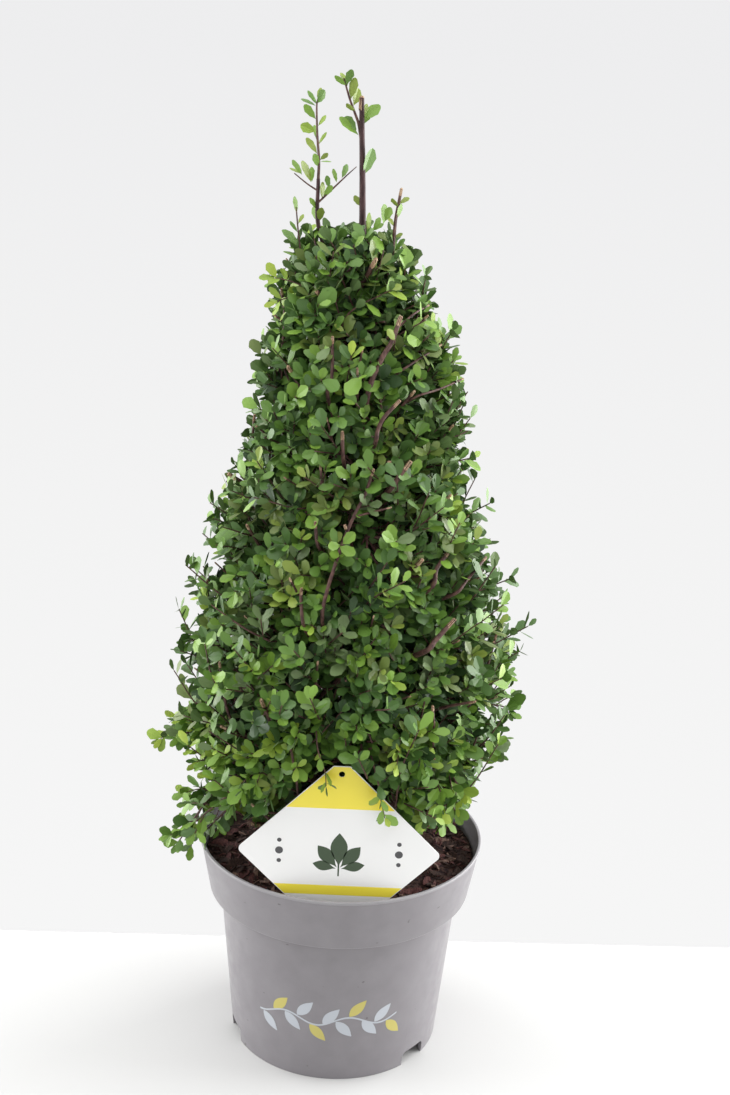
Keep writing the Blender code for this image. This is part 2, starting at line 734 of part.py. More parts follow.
def share_out(masses):
    """Gives each shoot to the mass whose space its tip is deepest in, moved off the seams."""
    for tip in shoot_points():
        mass = max(masses, key=lambda each: each.space.depth(tip))
        for place_, normal in mass.space.planes:
            short = 0.006 - (tip - place_).dot(normal)
            if short > 0:
                tip = tip + normal * short
        mass.shoots.append(tip)
    for tip in (Vector(point) for point in LONG_SHOOTS):
        mass = max(masses, key=lambda each: each.space.depth(tip))
        mass.long_shoots.append(tip)


def build_crown(finishes, limbs, lines):
    masses = crown_masses(lines)
    share_out(masses)
    total = 0
    for mass in masses:
        rng = random.Random(f"{mass.name} {SEED}")
        stem = tube("stem", mass.stem, tapering((STEM_RADIUS, STEM_TIP_RADIUS), len(mass.stem)), 5)
        parts, centres = [mass.core, stem], []
        total += sum(grow_shoot(mass, tip, limbs, rng, parts, centres, True) for tip in mass.long_shoots)
        total += sum(grow_shoot(mass, tip, limbs, rng, parts, centres) for tip in mass.shoots)
        fused(mass.name, parts, finishes[mass.name.split("_")[0]])
    print(f"crown leaves: {total}")


def build_tufts(finish, limbs):
    """The leafy ends of the two leaders above the clipped cone."""
    rng = random.Random(SEED + 1)
    floor = (Vector((0, 0, CROWN_CEILING + GAP)), Vector((0, 0, 1)))
    for (name, line, count), side in zip(TUFTS, (-1, 1)):
        line = [Vector(point) for point in line]
        seam = (Vector((TUFT_SEAM_X + side * SEAM, 0, 0)), Vector((side, 0, 0)))
        mass = Mass(name, Space([floor, seam]), line, None)
        parts = [tube("stem", line, tapering(TUFT_STEM_RADII, len(line)), 4)]
        spacing = sum((end - start).length for start, end in zip(line, line[1:])) / count
        set_leaves(mass, line, count, spacing, TUFT_LEAF_SCALE, limbs, rng, parts, [], True)
        fused(name, parts, finish)


def main():
    for leftover in list(bpy.data.objects):
        bpy.data.objects.remove(leftover, do_unlink=True)
    pot_plastic = material("pot_plastic", (0.30, 0.28, 0.30), 0.42)
    compost = material("compost", (0.045, 0.026, 0.020), 0.95)
    card = material("label_card", (0.88, 0.88, 0.86), 0.35)
    bark = material("bark", (0.10, 0.062, 0.045), 0.80)
    greens = {"skirt": (0.055, 0.150, 0.030), "lower": (0.045, 0.130, 0.030), "middle": (0.040, 0.118, 0.030),
              "upper": (0.050, 0.135, 0.032)}
    leaves = {title: material(f"leaf_{title}", colour, 0.38) for title, colour in greens.items()}
    build_pot(pot_plastic)
    build_soil(compost, card_slot_cutter())
    build_label(card)
    limbs, lines = build_limbs(bark)
    build_crown(leaves, limbs, lines)
    build_tufts(leaves["upper"], limbs)


main()
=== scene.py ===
"""Looks for a potted japanese holly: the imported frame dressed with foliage, bark, compost, pot and label.

Metres, +Z up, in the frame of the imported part. The origin is the middle of the pot's underside. The label is
on -Y. The tables of places are in tenths of a millimetre.
"""

import logging
import math
import random
from dataclasses import dataclass, field
from enum import Enum
from typing import Any, Iterable, Sequence

import bmesh
import bpy
from mathutils import Matrix, Vector, noise


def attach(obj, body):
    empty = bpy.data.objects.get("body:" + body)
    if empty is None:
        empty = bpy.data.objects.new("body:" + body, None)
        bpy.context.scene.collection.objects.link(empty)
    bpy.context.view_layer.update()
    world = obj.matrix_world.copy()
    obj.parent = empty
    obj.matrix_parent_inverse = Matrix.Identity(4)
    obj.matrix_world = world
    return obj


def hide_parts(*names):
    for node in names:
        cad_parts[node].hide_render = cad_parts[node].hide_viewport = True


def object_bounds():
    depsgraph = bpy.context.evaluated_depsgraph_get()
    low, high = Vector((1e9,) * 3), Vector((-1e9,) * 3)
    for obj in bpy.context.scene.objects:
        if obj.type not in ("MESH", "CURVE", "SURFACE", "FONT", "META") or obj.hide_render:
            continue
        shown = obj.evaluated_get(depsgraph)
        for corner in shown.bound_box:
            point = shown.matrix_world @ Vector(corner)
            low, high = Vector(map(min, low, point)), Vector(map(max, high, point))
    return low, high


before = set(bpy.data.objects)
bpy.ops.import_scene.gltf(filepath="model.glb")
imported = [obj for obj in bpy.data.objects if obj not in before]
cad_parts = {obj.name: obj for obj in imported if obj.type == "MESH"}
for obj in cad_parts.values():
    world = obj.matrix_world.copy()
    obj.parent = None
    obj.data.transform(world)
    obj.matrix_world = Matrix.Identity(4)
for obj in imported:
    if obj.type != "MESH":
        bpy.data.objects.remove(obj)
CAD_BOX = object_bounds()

logging.basicConfig(level=logging.INFO, format="%(message)s")
LOG = logging.getLogger("holly")

GOLDEN_ANGLE = math.radians(137.508)
SEED = 12
UP = Vector((0.0, 0.0, 1.0))

Colour = tuple[float, float, float]
Pairs = Sequence[tuple[float, float]]
Outline = list[tuple[float, float]]
Mesh = bpy.types.Mesh
Piece = bpy.types.Object
Material = bpy.types.Material
Tree = bpy.types.NodeTree
Node = bpy.types.Node
Socket = bpy.types.NodeSocket


# ---------------------------------------------------------------- shared helpers


def metres(table: Any) -> Any:
    """Turns a number, or a nested table of numbers, from tenths of a millimetre into metres."""
    return tuple(metres(each) for each in table) if isinstance(table, tuple) else table / 10000


def between(pairs: Pairs, value: float) -> float:
    """Reads a list of (place, amount) pairs at a place, in straight runs.

    Args:
        pairs: places in rising order, each with its amount.
        value: the place to read.

    Returns:
        The amount there, held level past both ends.
    """
    for (low, start), (high, end) in zip(pairs, pairs[1:]):
        if value <= high:
            share = max(0.0, (value - low) / (high - low))
            return start + share * (end - start)
    return pairs[-1][1]


def mesh_from(name: str, points: Iterable[Sequence[float]], faces: Sequence[Sequence[int]]) -> Mesh:
    """Makes a mesh.

    Args:
        name: its name.
        points: vertex places.
        faces: vertex indices of each face.

    Returns:
        The mesh.
    """
    mesh = bpy.data.meshes.new(name)
    mesh.from_pydata([tuple(point) for point in points], [], faces)
    mesh.update()
    return mesh


def put(mesh: Mesh, *finishes: Material) -> Piece:
    """Puts a mesh in the scene as an object of the same name.

    Args:
        mesh: the mesh.
        finishes: its materials, in slot order.

    Returns:
        The object, at the origin.
    """
    piece = bpy.data.objects.new(mesh.name, mesh)
    for finish in finishes:
        mesh.materials.append(finish)
    bpy.context.scene.collection.objects.link(piece)
    return piece


def soften(mesh: Mesh, angle: float = 35.0) -> None:
    """Shades a mesh smooth, with edges sharper than the angle, in degrees, left crisp."""
    mesh.shade_smooth()
    mesh.set_sharp_from_angle(angle=math.radians(angle))


def point_outwards(mesh: Mesh) -> None:
    """Merges doubled points and turns the faces of a closed mesh outwards."""
    work = bmesh.new()
    work.from_mesh(mesh)
    bmesh.ops.remove_doubles(work, verts=work.verts, dist=1e-7)
    bmesh.ops.recalc_face_normals(work, faces=work.faces)
    work.to_mesh(mesh)
    work.free()


def turned(name: str, profile: Pairs, facets: int) -> Mesh:
    """Turns a profile round Z into a closed solid.

    Args:
        name: the mesh's name.
        profile: (radius, height) points that start and end on the axis.
        facets: how many steps make the turn.

    Returns:
        The mesh, with its points on the axis as poles.
    """
    points: list[tuple[float, float, float]] = []
    rings: list[list[int]] = []
    for radius, height in profile:
        count = 1 if radius == 0 else facets
        rings.append(list(range(len(points), len(points) + count)))
        for step in range(count):
            angle = 2 * math.pi * step / facets
            points.append((radius * math.cos(angle), radius * math.sin(angle), height))
    faces = []
    for lower, upper in zip(rings, rings[1:]):
        for step in range(facets):
            following = (step + 1) % facets
            corners = [lower[step % len(lower)], lower[following % len(lower)],
                       upper[following % len(upper)], upper[step % len(upper)]]
            faces.append(tuple(dict.fromkeys(corners)))
    mesh = mesh_from(name, points, [face for face in faces if len(face) > 2])
    point_outwards(mesh)
    return mesh


def extruded(name: str, outline: Pairs, low_y: float, high_y: float) -> Mesh:
    """Makes a closed plate.

    Args:
        name: the mesh's name.
        outline: (x, z) points round it.
        low_y: its front.
        high_y: its back.

    Returns:
        The mesh.
    """
    count = len(outline)
    points = [(x, low_y, z) for x, z in outline] + [(x, high_y, z) for x, z in outline]
    faces = [tuple(range(count)), tuple(reversed(range(count, 2 * count)))]
    faces += [(step, (step + 1) % count, count + (step + 1) % count, count + step) for step in range(count)]
    mesh = mesh_from(name, points, faces)
    point_outwards(mesh)
    return mesh


def rounded(corners: Pairs, radii: Sequence[float], steps: int = 8) -> Outline:
    """Rounds the corners of an outline.

    Args:
        corners: its (x, z) corners.
        radii: the radius at each corner, where zero leaves it sharp.
        steps: how many steps make each arc.

    Returns:
        The outline with its arcs.
    """
    outline: Outline = []
    for index, place in enumerate(corners):
        corner = Vector(place)
        before = (Vector(corners[index - 1]) - corner).normalized()
        after = (Vector(corners[(index + 1) % len(corners)]) - corner).normalized()
        half = before.angle(after) / 2
        if not radii[index]:
            outline.append(tuple(corner))
            continue
        centre = corner + (before + after).normalized() * (radii[index] / math.sin(half))
        start = corner + before * (radii[index] / math.tan(half)) - centre
        end = corner + after * (radii[index] / math.tan(half)) - centre
        sweep = start.angle(end)
        for step in range(steps + 1):
            share = step / steps
            arm = start * math.sin((1 - share) * sweep) + end * math.sin(share * sweep)
            outline.append(tuple(centre + arm / math.sin(sweep)))
    return outline


def ring(radius: float, sides: int, middle: tuple[float, float] = (0.0, 0.0)) -> Outline:
    """Returns points evenly round a circle, as an outline."""
    angles = [2 * math.pi * step / sides for step in range(sides)]
    return [(middle[0] + radius * math.cos(angle), middle[1] + radius * math.sin(angle)) for angle in angles]


def tapered(first: float, last: float, count: int) -> list[float]:
    """Returns a count of numbers that run evenly from the first to the last."""
    return [first + (last - first) * step / (count - 1) for step in range(count)]


def carved(piece: Piece, cutters: Sequence[Piece]) -> Piece:
    """Cuts shapes out of a piece.

    Args:
        piece: what is cut, which is used up.
        cutters: the closed shapes that cut it, which stay.

    Returns:
        The cut piece, with the same name and materials.
    """
    for cutter in cutters:
        cut = piece.modifiers.new("Cut", "BOOLEAN")
        cut.operation, cut.object, cut.solver = "DIFFERENCE", cutter, "EXACT"
    mesh = bpy.data.meshes.new_from_object(piece.evaluated_get(bpy.context.evaluated_depsgraph_get()))
    name, old, finishes = piece.name, piece.data, list(piece.data.materials)
    bpy.data.objects.remove(piece, do_unlink=True)
    bpy.data.meshes.remove(old)
    mesh.name = name
    mesh.materials.clear()
    return put(mesh, *finishes)


def curved(points: Sequence[Vector], steps: int) -> list[Vector]:
    """Runs a smooth curve through points.

    Args:
        points: what it passes through.
        steps: how many pieces lie between two of them.

    Returns:
        Points along the curve, the first and last being the given ones.
    """
    ends = [2 * points[0] - points[1], *points, 2 * points[-1] - points[-2]]
    line = []
    for index in range(1, len(ends) - 2):
        a, b, c, d = ends[index - 1:index + 3]
        for step in range(steps):
            t = step / steps
            line.append(0.5 * (2 * b + (c - a) * t + (2 * a - 5 * b + 4 * c - d) * t * t
                               + (3 * b - a - 3 * c + d) * t ** 3))
    line.append(points[-1].copy())
    return line


class Nodes:
    """Adds nodes to a tree and joins them in one call."""

    def __init__(self, tree: Tree) -> None:
        """Keeps the tree that the nodes go into."""
        self.tree = tree

    def add(self, kind: str, inputs: dict[Any, Any] | None = None, **settings: Any) -> Node:
        """Adds a node.

        Args:
            kind: the node's type name.
            inputs: for an input's name or index, its value or the socket that feeds it.
            settings: properties of the node itself.

        Returns:
            The node.
        """
        node = self.tree.nodes.new(kind)
        for name, value in settings.items():
            setattr(node, name, value)
        for key, value in (inputs or {}).items():
            if isinstance(value, Socket):
                self.tree.links.new(value, node.inputs[key])
            else:
                node.inputs[key].default_value = value
        return node

    def link(self, source: Socket, target: Socket) -> None:
        """Joins two sockets."""
        self.tree.links.new(source, target)


# ---------------------------------------------------------------- finishes


@dataclass(frozen=True)
class Finish:
    """What every finish has: its name, colour and gloss. A subclass adds its own grain."""

    name: str
    colour: Colour
    roughness: float
    specular: float = 0.5

    def material(self) -> Material:
        """Returns the finish's material, which is made the first time."""
        title = f"{self.name}_finish"
        found = bpy.data.materials.get(title)
        if found:
            return found
        made = bpy.data.materials.new(title)
        made.use_nodes = True
        made.diffuse_color = (*self.colour, 1.0)
        shader = made.node_tree.nodes["Principled BSDF"]
        shader.inputs["Base Color"].default_value = (*self.colour, 1.0)
        shader.inputs["Roughness"].default_value = self.roughness
        shader.inputs["Specular IOR Level"].default_value = self.specular
        self.dress(Nodes(made.node_tree), shader)
        return made

    def dress(self, nodes: Nodes, shader: Node) -> None:
        """Adds the finish's grain to its shader; the plain finish has none."""


def grain(nodes: Nodes, scale: float, detail: float = 3.0, stretch: Colour = (1.0, 1.0, 1.0)) -> Socket:
    """Adds a noise on the piece's own coordinates.

    Args:
        nodes: the tree.
        scale: how many lumps there are to a metre.
        detail: how many finer layers it has.
        stretch: how much finer it is along X, Y and Z.

    Returns:
        The socket that gives the noise, about 0.5.
    """
    place = nodes.add("ShaderNodeTexCoord").outputs["Object"]
    spread = nodes.add("ShaderNodeMapping", {"Vector": place, "Scale": stretch})
    settings = {"Vector": spread.outputs[0], "Scale": scale, "Detail": detail}
    return nodes.add("ShaderNodeTexNoise", settings).outputs[0]


def ramp(nodes: Nodes, value: Socket, stops: Sequence[tuple[float, Any]]) -> Socket:
    """Adds a colour ramp.

    Args:
        nodes: the tree.
        value: what it reads.
        stops: (place, colour or grey) pairs in rising order.

    Returns:
        The socket that gives its colour.
    """
    node = nodes.add("ShaderNodeValToRGB", {0: value})
    marks = node.color_ramp.elements
    while len(marks) < len(stops):
        marks.new(0.5)
    for mark, (place, shade) in zip(marks, stops):
        mark.position = place
        mark.color = (*shade, 1.0) if isinstance(shade, tuple) else (shade, shade, shade, 1.0)
    return node.outputs[0]


def blended(nodes: Nodes, share: Any, first: Any, second: Any, kind: str = "MIX") -> Socket:
    """Mixes two colours.

    Args:
        nodes: the tree.
        share: how much of the second there is.
        first: a colour or a socket.
        second: a colour or a socket.
        kind: how they blend.

    Returns:
        The socket that gives the mix.
    """
    node = nodes.add("ShaderNodeMix", data_type="RGBA", blend_type=kind)
    for index, value in ((0, share), (6, first), (7, second)):
        if isinstance(value, Socket):
            nodes.link(value, node.inputs[index])
        else:
            node.inputs[index].default_value = (*value, 1.0) if isinstance(value, tuple) else value
    return node.outputs[2]


def relief(nodes: Nodes, shader: Node, height: Socket, depth: float, strength: float) -> None:
    """Adds a bump to a shader.

    Args:
        nodes: the tree.
        shader: what it goes on.
        height: the socket that gives the height, from 0 to 1.
        depth: how deep it is, in metres.
        strength: how strongly it shows.
    """
    bump = nodes.add("ShaderNodeBump", {"Height": height, "Distance": depth, "Strength": strength})
    nodes.link(bump.outputs[0], shader.inputs["Normal"])


@dataclass(frozen=True)
class PotPlastic(Finish):
    """Injection moulded plastic: a fine mottle, faint dust and a few dark rubs."""

    dust: Colour = (0.36, 0.35, 0.36)
    dustiness: float = 0.16
    rub: Colour = (0.105, 0.095, 0.100)

    def dress(self, nodes: Nodes, shader: Node) -> None:
        """Adds the mottle, the dust, the rubs and a fine moulded grain."""
        mottle = ramp(nodes, grain(nodes, 55.0, 4.0), ((0.35, 0.0), (0.75, 1.0)))
        dusty = nodes.add("ShaderNodeMath", {0: mottle, 1: self.dustiness}, operation="MULTIPLY").outputs[0]
        body = blended(nodes, dusty, self.colour, self.dust)
        rubs = ramp(nodes, grain(nodes, 120.0, 1.0, (1.0, 1.0, 2.0)), ((0.765, 0.0), (0.80, 0.8)))
        nodes.link(blended(nodes, rubs, body, self.rub), shader.inputs["Base Color"])
        gloss = ((0.3, self.roughness - 0.05), (0.7, self.roughness + 0.08))
        nodes.link(ramp(nodes, grain(nodes, 90.0), gloss), shader.inputs["Roughness"])
        relief(nodes, shader, grain(nodes, 900.0, 2.0), 0.00005, 0.5)


@dataclass(frozen=True)
class Compost(Finish):
    """Peat and bark fines: dark, crumbly and dull."""

    crumb: Colour = (0.075, 0.040, 0.030)

    def dress(self, nodes: Nodes, shader: Node) -> None:
        """Adds crumbs of two sizes."""
        coarse = ramp(nodes, grain(nodes, 260.0, 5.0), ((0.42, 0.0), (0.62, 1.0)))
        nodes.link(blended(nodes, coarse, self.colour, self.crumb), shader.inputs["Base Color"])
        relief(nodes, shader, grain(nodes, 420.0, 6.0), 0.0012, 0.9)


@dataclass(frozen=True)
class Wood(Finish):
    """Bark, or a torn chip of it: long fibres in two tones."""

    light: Colour = (0.20, 0.12, 0.08)
    fibres: float = 900.0
    lengthwise: Colour = (1.0, 1.0, 0.25)
    depth: float = 0.0005

    def dress(self, nodes: Nodes, shader: Node) -> None:
        """Adds the fibres and their relief."""
        fibre = grain(nodes, self.fibres, 4.0, self.lengthwise)
        share = ramp(nodes, fibre, ((0.38, 0.0), (0.66, 1.0)))
        nodes.link(blended(nodes, share, self.colour, self.light), shader.inputs["Base Color"])
        relief(nodes, shader, fibre, self.depth, 0.8)


@dataclass(frozen=True)
class LeafSkin(Finish):
    """Leathery leaf: one plain green, a waxy coat and a soft cell grain."""

    coat: float = 0.06

    def dress(self, nodes: Nodes, shader: Node) -> None:
        """Adds the coat and the grain."""
        shader.inputs["Coat Weight"].default_value = self.coat
        shader.inputs["Coat Roughness"].default_value = 0.32
        relief(nodes, shader, grain(nodes, 700.0, 2.0), 0.00012, 0.35)


@dataclass(frozen=True)
class PrintedCard(Finish):
    """Smooth coated card or the ink on it."""

    def dress(self, nodes: Nodes, shader: Node) -> None:
        """Adds a light varnish and the sheet's faint unevenness."""
        shader.inputs["Coat Weight"].default_value = 0.25
        shader.inputs["Coat Roughness"].default_value = 0.18
        relief(nodes, shader, grain(nodes, 120.0, 2.0), 0.00008, 0.3)


class LeafTone(Enum):
    """The greens that are dealt out spray by spray."""

    DEEP = LeafSkin("leaf_deep_green", (0.028, 0.062, 0.018), 0.46, 0.30)
    DARK = LeafSkin("leaf_dark_green", (0.062, 0.132, 0.028), 0.44, 0.35)
    MIDDLE = LeafSkin("leaf_middle_green", (0.108, 0.212, 0.035), 0.43, 0.38)
    # A paler bluish green that some sprays get, standing for the soft sheen on glossy leaves: painted sheen.
    BLOOM = LeafSkin("leaf_blue_green", (0.126, 0.188, 0.070), 0.44, 0.38, 0.06)
    BRIGHT = LeafSkin("leaf_bright_green", (0.167, 0.298, 0.040), 0.44, 0.38)
    LIME = LeafSkin("leaf_lime_green", (0.236, 0.350, 0.045), 0.45, 0.36)
    FRESH = LeafSkin("leaf_fresh_green", (0.330, 0.440, 0.056), 0.45, 0.36)
    OLIVE = LeafSkin("leaf_olive_green", (0.215, 0.288, 0.050), 0.45, 0.38)
    DUSKY = LeafSkin("leaf_dusky_olive_green", (0.116, 0.166, 0.034), 0.45, 0.36)


UNDERSIDE = LeafSkin("leaf_underside", (0.120, 0.195, 0.065), 0.60, 0.3, 0.0)
BARK = Wood("bark", (0.030, 0.012, 0.013), 0.66, 0.35, (0.068, 0.032, 0.032), 420.0, (1.0, 1.0, 0.22), 0.0005)
TWIG = Wood("twig_bark", (0.048, 0.019, 0.018), 0.62, 0.4, (0.130, 0.064, 0.048), 500.0, (1.0, 1.0, 0.5),
            0.0003)
CUT_WOOD = Wood("cut_wood", (0.24, 0.135, 0.075), 0.75, 0.3, (0.52, 0.38, 0.25), 900.0)
POT = PotPlastic("pot_plastic", (0.208, 0.195, 0.208), 0.36, 0.5)
# A paler plastic for the lip and the collar foot's edge: painted highlight where those edges catch the light.
POT_HIGHLIGHT = PotPlastic("pot_rim_plastic", (0.270, 0.260, 0.270), 0.36, 0.5)
SOIL = Compost("compost", (0.018, 0.009, 0.010), 0.95, 0.2)
CARD = PrintedCard("label_card", (0.855, 0.855, 0.845), 0.36)
CARD_YELLOW = PrintedCard("label_yellow", (0.90, 0.76, 0.060), 0.36)
CARD_GREEN = PrintedCard("label_green", (0.030, 0.060, 0.022), 0.38)
CARD_GREY = PrintedCard("label_grey", (0.060, 0.060, 0.064), 0.38)
POT_PALE = PrintedCard("pot_pale_print", (0.45, 0.48, 0.52), 0.50)
POT_OCHRE = PrintedCard("pot_ochre_print", (0.50, 0.44, 0.115), 0.50)
TABLE = Finish("studio_floor", (0.560, 0.560, 0.552), 0.60, 0.2)


CHIP_GRAIN = (900.0, (1.0, 0.3, 1.0), 0.0006)


class Chip(Enum):
    """The bark chips that lie on the compost."""

    DARK = Wood("chip_dark", (0.020, 0.010, 0.008), 0.85, 0.3, (0.060, 0.030, 0.022), *CHIP_GRAIN)
    RED = Wood("chip_red", (0.056, 0.020, 0.021), 0.80, 0.3, (0.135, 0.050, 0.042), *CHIP_GRAIN)
    TAN = Wood("chip_tan", (0.095, 0.056, 0.044), 0.80, 0.3, (0.225, 0.138, 0.102), *CHIP_GRAIN)


# ---------------------------------------------------------------- geometry node trees


def node_group(name: str, inputs: Sequence[tuple[str, str]]) -> tuple[Tree, Nodes, Node]:
    """Makes an empty geometry tree.

    Args:
        name: its name.
        inputs: (name, socket type) of each input after the geometry.

    Returns:
        The tree, its node adder and its input node.
    """
    tree = bpy.data.node_groups.new(name, "GeometryNodeTree")
    tree.interface.new_socket("Geometry", in_out="INPUT", socket_type="NodeSocketGeometry")
    for title, kind in inputs:
        tree.interface.new_socket(title, in_out="INPUT", socket_type=kind)
    tree.interface.new_socket("Geometry", in_out="OUTPUT", socket_type="NodeSocketGeometry")
    nodes = Nodes(tree)
    return tree, nodes, nodes.add("NodeGroupInput")


def grown(host: Mesh, tree: Tree, values: dict[str, Any], name: str) -> Mesh:
    """Runs a geometry tree on a mesh.

    Args:
        host: what it starts from, which is used up.
        tree: the tree.
        values: the tree's inputs by name.
        name: the name of the result.

    Returns:
        The plain mesh that comes out, with the tree's working attributes removed.
    """
    holder = put(host)
    modifier = holder.modifiers.new("Grow", "NODES")
    modifier.node_group = tree
    for item in tree.interface.items_tree:
        if item.in_out == "INPUT" and item.name in values:
            modifier[item.identifier] = values[item.name]
    graph = bpy.context.evaluated_depsgraph_get()
    made = bpy.data.meshes.new_from_object(holder.evaluated_get(graph))
    bpy.data.objects.remove(holder, do_unlink=True)
    made.name = name
    kept = {"position", "sharp_edge", "sharp_face", "material_index"}
    for title in [each.name for each in made.attributes]:
        found = made.attributes.get(title)
        if found and title not in kept and not title.startswith(".") and not found.is_required:
            made.attributes.remove(found)
    return made


def points_mesh(name: str, rows: Sequence[dict[str, Any]]) -> Mesh:
    """Makes a mesh of loose points with an attribute for each other entry of their rows.

    Args:
        name: its name.
        rows: for each point its place under "place", vectors and numbers under other names.

    Returns:
        The mesh.
    """
    mesh = bpy.data.meshes.new(name)
    mesh.from_pydata([tuple(row["place"]) for row in rows], [], [])
    for title, sample in rows[0].items():
        if title == "place":
            continue
        vector = isinstance(sample, Vector)
        kind = "FLOAT_VECTOR" if vector else "INT" if isinstance(sample, int) else "FLOAT"
        layer = mesh.attributes.new(title, kind, "POINT")
        if vector:
            layer.data.foreach_set("vector", [x for row in rows for x in row[title]])
        else:
            layer.data.foreach_set("value", [row[title] for row in rows])
    return mesh


def scatter_tree(name: str, finishes: Sequence[Material], under: Material | None = None) -> Tree:
    """Makes the tree that sets a shape on every point, turned, sized and coloured by the point's attributes.

    Args:
        name: the tree's name.
        finishes: the material for each value of the points' "tone".
        under: the material of faces marked "underside", if any are.

    Returns:
        The tree, whose input is Shapes.
    """
    tree, nodes, given = node_group(name, (("Shapes", "NodeSocketCollection"),))

    def read(title: str, kind: str) -> Socket:
        """Returns the socket of a named attribute."""
        return nodes.add("GeometryNodeInputNamedAttribute", {"Name": title}, data_type=kind).outputs[0]

    shapes = nodes.add("GeometryNodeCollectionInfo", {"Collection": given.outputs["Shapes"],
                                                       "Separate Children": True, "Reset Children": True})
    axes = {0: read("ahead", "FLOAT_VECTOR"), 1: read("facing", "FLOAT_VECTOR")}
    turn = nodes.add("FunctionNodeAxesToRotation", axes, primary_axis="Y", secondary_axis="Z")
    placed = nodes.add("GeometryNodeInstanceOnPoints",
                       {"Points": given.outputs["Geometry"], "Instance": shapes.outputs[0],
                        "Pick Instance": True, "Instance Index": read("shape", "INT"),
                        "Rotation": turn.outputs[0], "Scale": read("size", "FLOAT")})
    flow = nodes.add("GeometryNodeRealizeInstances", {0: placed.outputs[0]}).outputs[0]
    picks = []
    for tone, finish in enumerate(finishes):
        match = {2: read("tone", "INT"), 3: tone}
        chosen = nodes.add("FunctionNodeCompare", match, data_type="INT", operation="EQUAL")
        picks.append((chosen.outputs[0], finish))
    if under:
        picks.append((read("underside", "BOOLEAN"), under))
    for chosen, finish in picks:
        values = {"Geometry": flow, "Selection": chosen, "Material": finish}
        flow = nodes.add("GeometryNodeSetMaterial", values).outputs[0]
    nodes.add("NodeGroupOutput", {0: flow})
    return tree


def twig_tree(name: str) -> Tree:
    """Makes the tree that turns lines of edges into closed round twigs, as thick as their points say.

    Args:
        name: the tree's name.

    Returns:
        The tree, whose inputs are Sides and Finish.
    """
    tree, nodes, given = node_group(name, (("Sides", "NodeSocketInt"), ("Finish", "NodeSocketMaterial")))
    line = nodes.add("GeometryNodeMeshToCurve", {0: given.outputs["Geometry"]})
    thick = nodes.add("GeometryNodeInputNamedAttribute", {"Name": "thickness"}, data_type="FLOAT")
    sized = nodes.add("GeometryNodeSetCurveRadius", {"Curve": line.outputs[0], "Radius": thick.outputs[0]})
    round_of = {"Resolution": given.outputs["Sides"], "Radius": 1.0}
    section = nodes.add("GeometryNodeCurvePrimitiveCircle", round_of)
    settings = {"Curve": sized.outputs[0], "Profile Curve": section.outputs[0], "Fill Caps": True}
    swept = nodes.add("GeometryNodeCurveToMesh", settings)
    if "Scale" in swept.inputs:
        nodes.link(thick.outputs[0], swept.inputs["Scale"])
    whole = {"Geometry": swept.outputs[0], "Material": given.outputs["Finish"]}
    nodes.add("NodeGroupOutput", {0: nodes.add("GeometryNodeSetMaterial", whole).outputs[0]})
    return tree


def lines_mesh(name: str, limbs: Sequence["Limb"]) -> Mesh:
    """Makes a mesh of loose edge lines with a "thickness" at each point.

    Args:
        name: its name.
        limbs: the lines and their radii.

    Returns:
        The mesh.
    """
    points: list[tuple[float, ...]] = []
    edges: list[tuple[int, int]] = []
    radii: list[float] = []
    for limb in limbs:
        edges += [(len(points) + step, len(points) + step + 1) for step in range(len(limb.line) - 1)]
        points += [tuple(point) for point in limb.line]
        radii += limb.radii
    mesh = bpy.data.meshes.new(name)
    mesh.from_pydata(points, edges, [])
    mesh.attributes.new("thickness", "FLOAT", "POINT").data.foreach_set("value", radii)
    return mesh


# ---------------------------------------------------------------- pot


